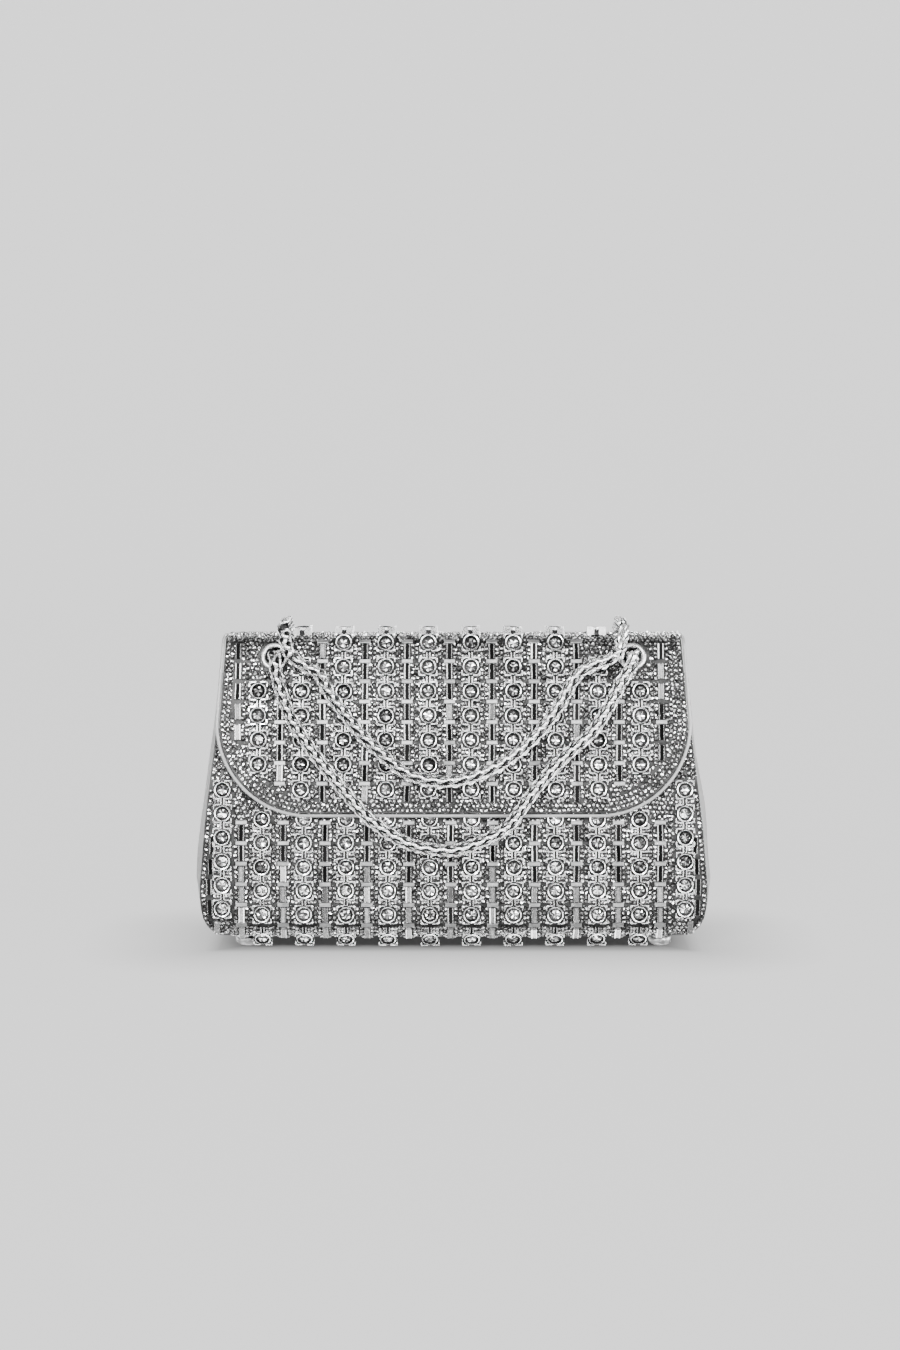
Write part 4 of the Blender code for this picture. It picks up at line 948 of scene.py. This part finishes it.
def pouchSpot(u, v, deep):
    # Walls of the lining, taken in at the floor, with slight upright folds.
    z = pouch["low"] + deep + (pouch["top"] - pouch["low"] - deep) * v
    a = 2 * math.pi * u
    turn = Vector((math.cos(a), math.sin(a), v * 1.5))
    fold = pouch["fold"] * (0.4 + noise.noise(turn * 4.0)) * math.sin(math.pi * min(v * 1.2, 1.0))
    inset = pouch["inset"] + deep + max(fold, 0.0) + pouch["side"] * max(0.0, 1.0 - v * 18) ** 2
    half = bodyHalf(z) - pouch["side"] - (inset - pouch["inset"])
    c, d = squarish(a, pouch["power"])
    far = innerDepth(backShares if d > 0 else frontShares, z, pouch["inset"]) - inset + pouch["inset"]
    return onBody(half * c, far * d, z)


bm = bmesh.new()
for deep in (0.0, pouch["thick"]):
    made = mappedGrid(bm, pouch["around"], pouch["rows"], lambda u, v: pouchSpot(u, v, deep))
    bmesh.ops.remove_doubles(bm, verts=made, dist=0.00001)
rims = [e for e in bm.edges if e.is_boundary and e.verts[0].co.z > 0.05]
bmesh.ops.bridge_loops(bm, edges=rims)
floors = [e for e in bm.edges if e.is_boundary]
bmesh.ops.edgeloop_fill(bm, edges=floors)
placeBm("liningPouch", bm, "root", ["lining"], ["lining_pouch"], 60)

pocket = lengths(half=45, low=44, top=84, thick=0.6, sag=0.4, dip=1.2)
pocketIn = pouch["inset"] + pouch["thick"] + 3 * bag["gap"]


def pocketSpot(u, v, deep):
    z = pocket["low"] + (pocket["top"] - pocket["low"]) * v
    belly = pocket["sag"] * math.sin(math.pi * u) * (0.4 + v)
    y = depth(backShares, z) - pocketIn - belly - deep
    return onBody((2 * u - 1) * pocket["half"], y, z - pocket["dip"] * math.sin(math.pi * u) * v)


placeBm("slipPocket", shell(24, 16, pocketSpot, pocket["thick"]), "root", ["lining"], ["slip_pocket"], 60)
print("panels and lining ready")

gusset = dict(lengths(low=6.6, high=113, inset=4.6, tuck=0.5, bulge=4.0, thick=1.2, fold=0.8),
              shares=((0.0, 0.15), (0.08, 0.7), (0.2, 1.0), (0.5, 0.95), (0.8, 0.7), (1.0, 0.55)))


def gussetSpot(side):
    def spot(u, v, deep):
        z = gusset["low"] + (gusset["high"] - gusset["low"]) * v
        front = pullIn(bag["half"], -innerDepth(frontShares, z, gusset["inset"]), z)
        back = pullIn(bag["half"], innerDepth(backShares, z, gusset["inset"]), z)
        t = 2 * u - 1
        bulge = gusset["bulge"] * readShares(gusset["shares"], v) * (1 - t * t)
        fold = gusset["fold"] * (noise.noise(Vector((u * 2.0, v * 5.0, side * 3.0))) - 0.2) * (1 - t * t)
        x = bodyHalf(z) - gusset["tuck"] + bulge + fold - deep
        return Vector((side * x, (front + back) / 2 + t * (back - front) / 2 + shiftY, z))
    return spot


for side, name in ((-1, "left"), (1, "right")):
    placeBm("gusset" + name.title(), shell(16, 40, gussetSpot(side), gusset["thick"]), "root", ["leather"],
            ["gusset_" + name], 60)


# Tubes: piping, welt and the chain's paths

def smoothPath(points, spacing):
    pts = [Vector(p) for p in points]
    dense = []
    for i in range(len(pts) - 1):
        a = pts[max(i - 1, 0)]
        b = pts[i]
        c = pts[i + 1]
        d = pts[min(i + 2, len(pts) - 1)]
        for k in range(12):
            t = k / 12
            dense.append(0.5 * ((2 * b) + (c - a) * t + (2 * a - 5 * b + 4 * c - d) * t ** 2
                                + (3 * b - a - 3 * c + d) * t ** 3))
    dense.append(pts[-1])
    total = sum((q - p).length for p, q in zip(dense, dense[1:]))
    count = max(int(round(total / spacing)), 2)
    even = [dense[0]]
    walked = 0.0
    for p, q in zip(dense, dense[1:]):
        step = (q - p).length
        while len(even) < count and walked + step >= total * len(even) / count:
            even.append(p.lerp(q, (total * len(even) / count - walked) / step))
        walked += step
    even.append(dense[-1])
    return even


def tube(path, radius, sides):
    # A round section carried along a path, with closed ends.
    bm = bmesh.new()
    rings = []
    across = (path[1] - path[0]).orthogonal().normalized()
    for i, point in enumerate(path):
        ahead = (path[min(i + 1, len(path) - 1)] - path[max(i - 1, 0)]).normalized()
        across = (across - ahead * across.dot(ahead)).normalized()
        turn = axes(across, ahead.cross(across), ahead)
        made = bmesh.ops.create_circle(bm, cap_ends=i in (0, len(path) - 1), segments=sides, radius=radius,
                                       matrix=Matrix.Translation(point) @ turn)
        rings.append(made["verts"])
    for low, high in zip(rings, rings[1:]):
        for k in range(sides):
            j = (k + 1) % sides
            bm.faces.new((low[k], low[j], high[j], high[k]))
    return bm


piping = {"radius": 0.7 * mm, "sides": 10}
edge = []
for x, d in flapOutline(-(piping["radius"] + bag["gap"])):
    m = flapLine.stand(x, max(d, 0.0), -bag["sheet"] / 2)
    drop = Vector((0, 0, min(d, 0.0)))
    edge.append(m.to_translation() + drop)
whole = [Vector((-p.x, p.y, p.z)) for p in edge] + edge[-2::-1]
placeBm("flapPiping", tube(smoothPath(whole, 1.6 * mm), piping["radius"], piping["sides"]), "flap",
        ["leather"], ["flap_piping"], 60)
welt = [Vector((flapShape["topHalf"] * (i / 20 - 1), hingeY + shiftY, bag["hinge"])) for i in range(41)]
placeBm("seamWelt", tube(welt, bag["welt"], 12), "root", ["leather"], ["seam_welt"], 60)

# Eyelets and feet
eyeletDeep = bag["sheet"] + bag["board"] + bag["lining"] + 3 * bag["gap"] + 0.5 * mm
barrel = eyelets["hole"] + eyelets["wall"]
profile = [(eyelets["hole"], -eyeletDeep), (eyelets["hole"], -0.4 * mm), (eyelets["hole"], 0.3 * mm),
           (eyelets["hole"] + 0.15 * mm, 0.8 * mm)]
for i in range(9):
    a = math.pi - math.pi * i / 8
    profile.append(((eyelets["hole"] + eyelets["outer"]) / 2 + eyelets["flange"] * math.cos(a),
                    0.45 * mm + eyelets["flange"] * math.sin(a)))
profile += [(barrel, 0.2 * mm), (barrel, -eyeletDeep), (eyelets["hole"], -eyeletDeep)]
eyeSpots = {}
for name, line, (x, z) in (("front", flapLine, eyelets["front"]), ("back", rearLine, eyelets["back"])):
    for side, sideName in ((-1, "left"), (1, "right")):
        facing = line.stand(side * x, line.heightAt(z))
        out = facing.to_3x3() @ Vector((0, 0, 1))
        eyeSpots[name, sideName] = (facing.to_translation(), out)
        ring = lathe(profile, 48, Matrix.Identity(4))
        # The barrel inside the hole takes the dark finish: painted shade inside the eyelet
        for face in ring.faces:
            middle = face.calc_center_median()
            face.material_index = int(middle.xy.length < barrel and middle.z < 0.2 * mm)
        bmesh.ops.transform(ring, matrix=facing, verts=ring.verts[:])
        placeBm("eyelet" + name.title() + sideName.title(), ring, "flap", ["polish", "mesh"],
                ["eyelet_" + name + "_" + sideName], 50)

# A foot's profile is in millimetres: the dome, then its shank
foot = {"x": 86.8 * mm, "y": 14 * mm,
        "profile": [(0.0, 0.0), (1.6, 0.0), (2.7, 0.12), (3.7, 0.55), (4.4, 1.2), (4.85, 2.0), (5.0, 2.8),
                    (4.9, 3.5), (4.6, 4.0), (4.5, 4.2), (1.2, 4.2), (1.2, 9.0), (0.0, 9.0)]}
for sy, yName in ((-1, "front"), (1, "back")):
    for sx, xName in ((-1, "left"), (1, "right")):
        spot = Matrix.Translation((sx * foot["x"], sy * foot["y"] + shiftY, 0))
        dome = lathe([(r * mm, h * mm) for r, h in foot["profile"]], 32, spot)
        placeBm("foot" + yName.title() + xName.title(), dome, "root", ["bar"],
                ["foot_" + yName + "_" + xName])
print("leather, eyelets and feet ready")

# The chain is braided from closed wire loops around a thin dark tube, painted shade for the dark gaps inside
# the braid
chain = dict(lengths(radius=2.9, pitch=6.3, topX=70.8, frontDrop=79.4, rearDrop=60.8, reach=5.6, stop=3.3,
                     lie=3.6, hangOff=3.8, inside=6.2, outside=5.2, loopLong=9.4, loopWide=3.9, wire=0.78,
                     offset=1.2, core=1.2), rearPivotDeg=62, tilt=12, slant=28)
frontLoop = ((-1.0, 0.0), (-0.988, 0.08), (-0.97, 0.158), (-0.936, 0.25), (-0.891, 0.347),
             (-0.768, 0.515), (-0.634, 0.668), (-0.496, 0.816), (-0.418, 0.877), (-0.352, 0.918),
             (-0.269, 0.959), (-0.186, 0.985), (-0.075, 1.0), (0.007, 1.0), (0.09, 0.98),
             (0.173, 0.949), (0.256, 0.908), (0.323, 0.857), (0.422, 0.729), (0.533, 0.602),
             (0.645, 0.5), (0.767, 0.398), (0.857, 0.275), (0.936, 0.14), (0.985, 0.065), (1.0, 0.0))
rearLoop = ((-1.0, 0.0), (-0.968, 0.13), (-0.912, 0.2), (-0.847, 0.247), (-0.787, 0.288),
            (-0.739, 0.388), (-0.692, 0.467), (-0.592, 0.614), (-0.499, 0.734), (-0.446, 0.787),
            (-0.382, 0.854), (-0.324, 0.907), (-0.254, 0.954), (-0.167, 0.987), (-0.079, 1.0),
            (0.008, 0.993), (0.095, 0.973), (0.182, 0.934), (0.27, 0.887), (0.386, 0.794),
            (0.48, 0.694), (0.532, 0.628), (0.579, 0.554), (0.626, 0.474), (0.709, 0.314),
            (0.772, 0.25), (0.845, 0.213), (0.912, 0.185), (0.968, 0.13), (1.0, 0.0))


def loopTemplate(s):
    bm = bmesh.new()
    around = 16
    start = Matrix.Rotation(math.pi / around, 4, "Z") @ Matrix.Translation(
        (s["loopWide"] / 2 - s["wire"], 0, 0)) @ Matrix.Rotation(math.pi / 2, 4, "X")
    bmesh.ops.create_circle(bm, segments=6, radius=s["wire"], matrix=start)
    bmesh.ops.spin(bm, geom=bm.verts[:] + bm.edges[:], axis=(0, 0, 1), cent=(0, 0, 0), steps=around,
                   angle=2 * math.pi, use_merge=True)
    bmesh.ops.remove_doubles(bm, verts=bm.verts[:], dist=0.000005)
    for v in bm.verts:
        v.co.y += math.copysign((s["loopLong"] - s["loopWide"]) / 2, v.co.y)
    bmesh.ops.recalc_face_normals(bm, faces=bm.faces[:])
    # Wire faces that look in towards the chain's middle take the dark finish: painted shade in the braid's
    # crevices
    for face in bm.faces:
        face.material_index = int(face.normal.z < -0.4)
    return bm


chainLoop = loopTemplate(chain)


def chainPiece(name, points, body, node, trim=2):
    path = smoothPath(points, chain["pitch"] / 4)
    matrices = []
    up = Vector((0, -1, 0))
    for i, point in enumerate(path):
        ahead = (path[min(i + 1, len(path) - 1)] - path[max(i - 1, 0)]).normalized()
        up = (up - ahead * up.dot(ahead)).normalized()
        if i % 2 or not trim <= i < len(path) - trim:
            continue
        families = (45, 225) if i % 4 == 0 else (135, 315)
        for deg in families:
            out = Matrix.Rotation(math.radians(deg), 3, ahead) @ up
            side = ahead.cross(out).normalized()
            slant = chain["slant"] * (1 if deg in (45, 225) else -1)
            matrices.append(Matrix.Translation(point + out * chain["offset"]) @ axes(side, ahead, out)
                            @ rotated(slant, "Z") @ rotated(chain["tilt"], "X"))
    # The dark tube down the chain's middle is painted shade, seen through the gaps between the loops
    core = tube(path[1:-1], chain["core"], 8)
    for face in core.faces:
        face.material_index = 1
    bmesh.ops.recalc_face_normals(core, faces=core.faces[:])
    scatter(name, [(chainLoop, matrices), (core, [Matrix.Identity(4)])], body, ["chain", "mesh"], [node], 60)


hangOffset = chain["radius"] + chain["hangOff"] + bag["gap"]
hangLow = flapLine.stand(0.0, 0.0, hangOffset).to_translation().z


def hangY(x, z):
    # How far out a loop hangs: off the flap, and below its hem off the face's curve carried on.
    for i in range(200 if z > hangLow else 0):
        p = flapLine.stand(0.0, flapLine.length * i / 400, hangOffset).to_translation()
        if p.z >= z:
            return pullIn(x, p.y - shiftY, z)
    return pullIn(x, flapFaceY(z) - hangOffset, z)


def loopPoints(shares, pivot, drop):
    points = []
    for sx, sz in shares:
        x = sx * pivot.x
        z = pivot.z - sz * drop
        y = pivot.y if sz == 0.0 else hangY(x, z) + shiftY
        points.append(Vector((x, y, z)))
    return points


rightSpot, rightOut = eyeSpots["front", "right"]
frontPivot = rightSpot + rightOut * chain["reach"]
# Points 35 and 36 of the flap's line are the inner ends of its two arcs at the top
arcTopY = flapLine.points[35].x + shiftY
rearArcY = flapLine.points[36].x + shiftY
angle = math.radians(chain["rearPivotDeg"])
reach = flapShape["frontArc"] + chain["lie"]
rearPivot = Vector((chain["topX"], arcTopY - reach * math.cos(angle),
                    bag["top"] - flapShape["frontArc"] + reach * math.sin(angle)))
chainPiece("strapFront", loopPoints(frontLoop, frontPivot, chain["frontDrop"]), "strap_front", "strap_front")
chainPiece("strapRear", loopPoints(rearLoop, rearPivot, chain["rearDrop"]), "strap_rear", "strap_rear", 1)
for side, name in ((-1, "left"), (1, "right")):
    spot, out = eyeSpots["front", name]
    back, backOut = eyeSpots["back", name]
    wrap = flapShape["rearArc"] + chain["lie"] + 0.5 * mm
    within = spot - out * chain["inside"]
    backWithin = back - backOut * chain["inside"]
    points = [spot + out * (chain["reach"] - chain["stop"] * 0.3), within, (within + backWithin) / 2,
              backWithin, back + backOut * mm,
              back + backOut * chain["outside"] + Vector((0, 0, chain["radius"]))]
    for deg in (5, 35, 65):
        a = math.radians(deg)
        points.append(Vector((side * chain["topX"], rearArcY + wrap * math.cos(a),
                              bag["top"] - flapShape["rearArc"] + wrap * math.sin(a))))
    points.append(Vector((side * chain["topX"], arcTopY, bag["top"] + chain["lie"])))
    stop = Vector((side * rearPivot.x, rearPivot.y, rearPivot.z))
    points.append(stop + (points[-1] - stop).normalized() * chain["stop"] * 0.6)
    chainPiece("chainRun" + name.title(), points, "flap", "chain_run_" + name, 1)
print("chain ready")

# Carried-over rigid nodes keep their shape and get better finishes
for node, kept in frame["nodes"].items():
    if "board" in node or "magnet" in node or "washer" in node:
        kept.material_slots[0].material = finishes["board" if "board" in node else "plain"]

# Camera, floor and light
camera = {"centre": (-1.5 * mm, 0.0, 113 * mm), "away": 1.3, "up": 5.5, "lens": 82.5}
cam = bpy.data.objects.new("camera", bpy.data.cameras.new("camera"))
scene.collection.objects.link(cam)
up = math.radians(camera["up"])
aim = Vector((0, -math.cos(up), math.sin(up)))
cam.location = Vector(camera["centre"]) + aim * camera["away"]
cam.rotation_euler = aim.to_track_quat("Z", "Y").to_euler()
cam.data.lens = camera["lens"]
cam.data.clip_start = 0.05
cam.data.clip_end = 60
scene.camera = cam

studio = {"wall": 2.6, "curve": 0.9, "near": -3.0, "halfWide": 4.0, "tall": 3.2}
bm = bmesh.new()


def sweepSpot(u, v):
    x = (2 * u - 1) * studio["halfWide"]
    flat = studio["wall"] - studio["curve"] - studio["near"]
    arc = studio["curve"] * math.pi / 2
    d = v * (flat + arc + studio["tall"] - studio["curve"])
    if d < flat:
        return Vector((x, studio["near"] + d, 0))
    if d < flat + arc:
        a = (d - flat) / studio["curve"]
        return Vector((x, studio["wall"] - studio["curve"] + studio["curve"] * math.sin(a),
                       studio["curve"] * (1 - math.cos(a))))
    return Vector((x, studio["wall"], studio["curve"] + d - flat - arc))


mappedGrid(bm, 2, 160, sweepSpot)
mesh = bpy.data.meshes.new("floor")
bm.to_mesh(mesh)
bm.free()
floor = bpy.data.objects.new("floor", mesh)
scene.collection.objects.link(floor)
mesh.polygons.foreach_set("use_smooth", [True] * len(mesh.polygons))
mat, shader, where = newFinish("floorPaint")
soft = noiseAt(where, 3, 2)
soft.spread(0.2, 0.8).blend(grey(0.1), grey(0.103)).feed(shader, "Base Color")
shader.inputs["Roughness"].default_value = 0.9
shader.inputs["Specular IOR Level"].default_value = 0.0
# The glow fades near the bag, which leaves its contact shadow
shadow = {"halfLong": 0.098, "halfDeep": 0.026}
parts = [where.node("ShaderNodeSeparateXYZ", {}, {"Vector": where}, i) for i in range(2)]
overX = parts[0].math("ABSOLUTE", parts[0]) - shadow["halfLong"]
overY = parts[1].math("ABSOLUTE", parts[1] - shiftY) - shadow["halfDeep"]
farX = overX.math("MAXIMUM", overX, 0.0)
farY = overY.math("MAXIMUM", overY, 0.0)
reach = farX * farX + farY * farY
inside = overX.math("MAXIMUM", overX, overY)
away = reach.math("SQRT", reach) + inside.math("MINIMUM", inside, 0.0)
wide = away.spread(0.0, 0.06)
shade = away.spread(-0.012, 0.006, 0.03, 0.45) + wide.math("POWER", wide, 0.6) * 0.55
shade.blend(grey(0.0), grey(1.0)).feed(shader, "Emission Color")
shader.inputs["Emission Strength"].default_value = 1.29
mesh.materials.append(mat)
floor.visible_glossy = False

world = bpy.data.worlds.new("studioLight")
scene.world = world
world.use_nodes = True
back = world.node_tree.nodes["Background"]
start = Wire(world.node_tree, None)
way = start.node("ShaderNodeTexCoord", {}, {}, 0)
patches = noiseAt(way, 11, 4, 0.6)
broad = noiseAt(way, 1.6, 1)
glow = (patches * 0.75 + broad * 0.25).spread(0.47, 0.68)
behind, high = [way.node("ShaderNodeSeparateXYZ", {}, {"Vector": way}, i) for i in (1, 2)]
dim = high.spread(-0.7, 0.0, 0.35, 1.0) * high.spread(0.15, 0.7, 1.0, 0.25)
dim = dim * behind.spread(0.1, 0.6, 1.0, 0.55)
level = (glow * glow * glow * 96.0 + 0.26) * dim
# The camera sees plain grey past the floor's edge
seen = way.node("ShaderNodeLightPath", {}, {}, 0)
((1.0 - seen) * level + seen * 0.9).feed(back, "Strength")
back.inputs["Color"].default_value = grey(1.0)


def softLight(name, spot, target, size, power):
    data = bpy.data.lights.new(name, "AREA")
    data.shape = "RECTANGLE"
    data.size = size[0]
    data.size_y = size[1]
    data.energy = power
    made = bpy.data.objects.new(name, data)
    scene.collection.objects.link(made)
    made.location = spot
    made.rotation_euler = (Vector(spot) - Vector(target)).to_track_quat("Z", "Y").to_euler()
    made.visible_camera = False


softLight("keyLight", (-0.5, -1.5, 0.8), (0, 0, 0.08), (0.4, 0.4), 24)
softLight("fillLight", (0.9, -1.3, 0.3), (0, 0, 0.08), (0.5, 0.8), 14)
softLight("topLight", (0.0, 0.2, 1.6), (0, 0, 0.1), (1.2, 0.6), 2)
print("studio ready")
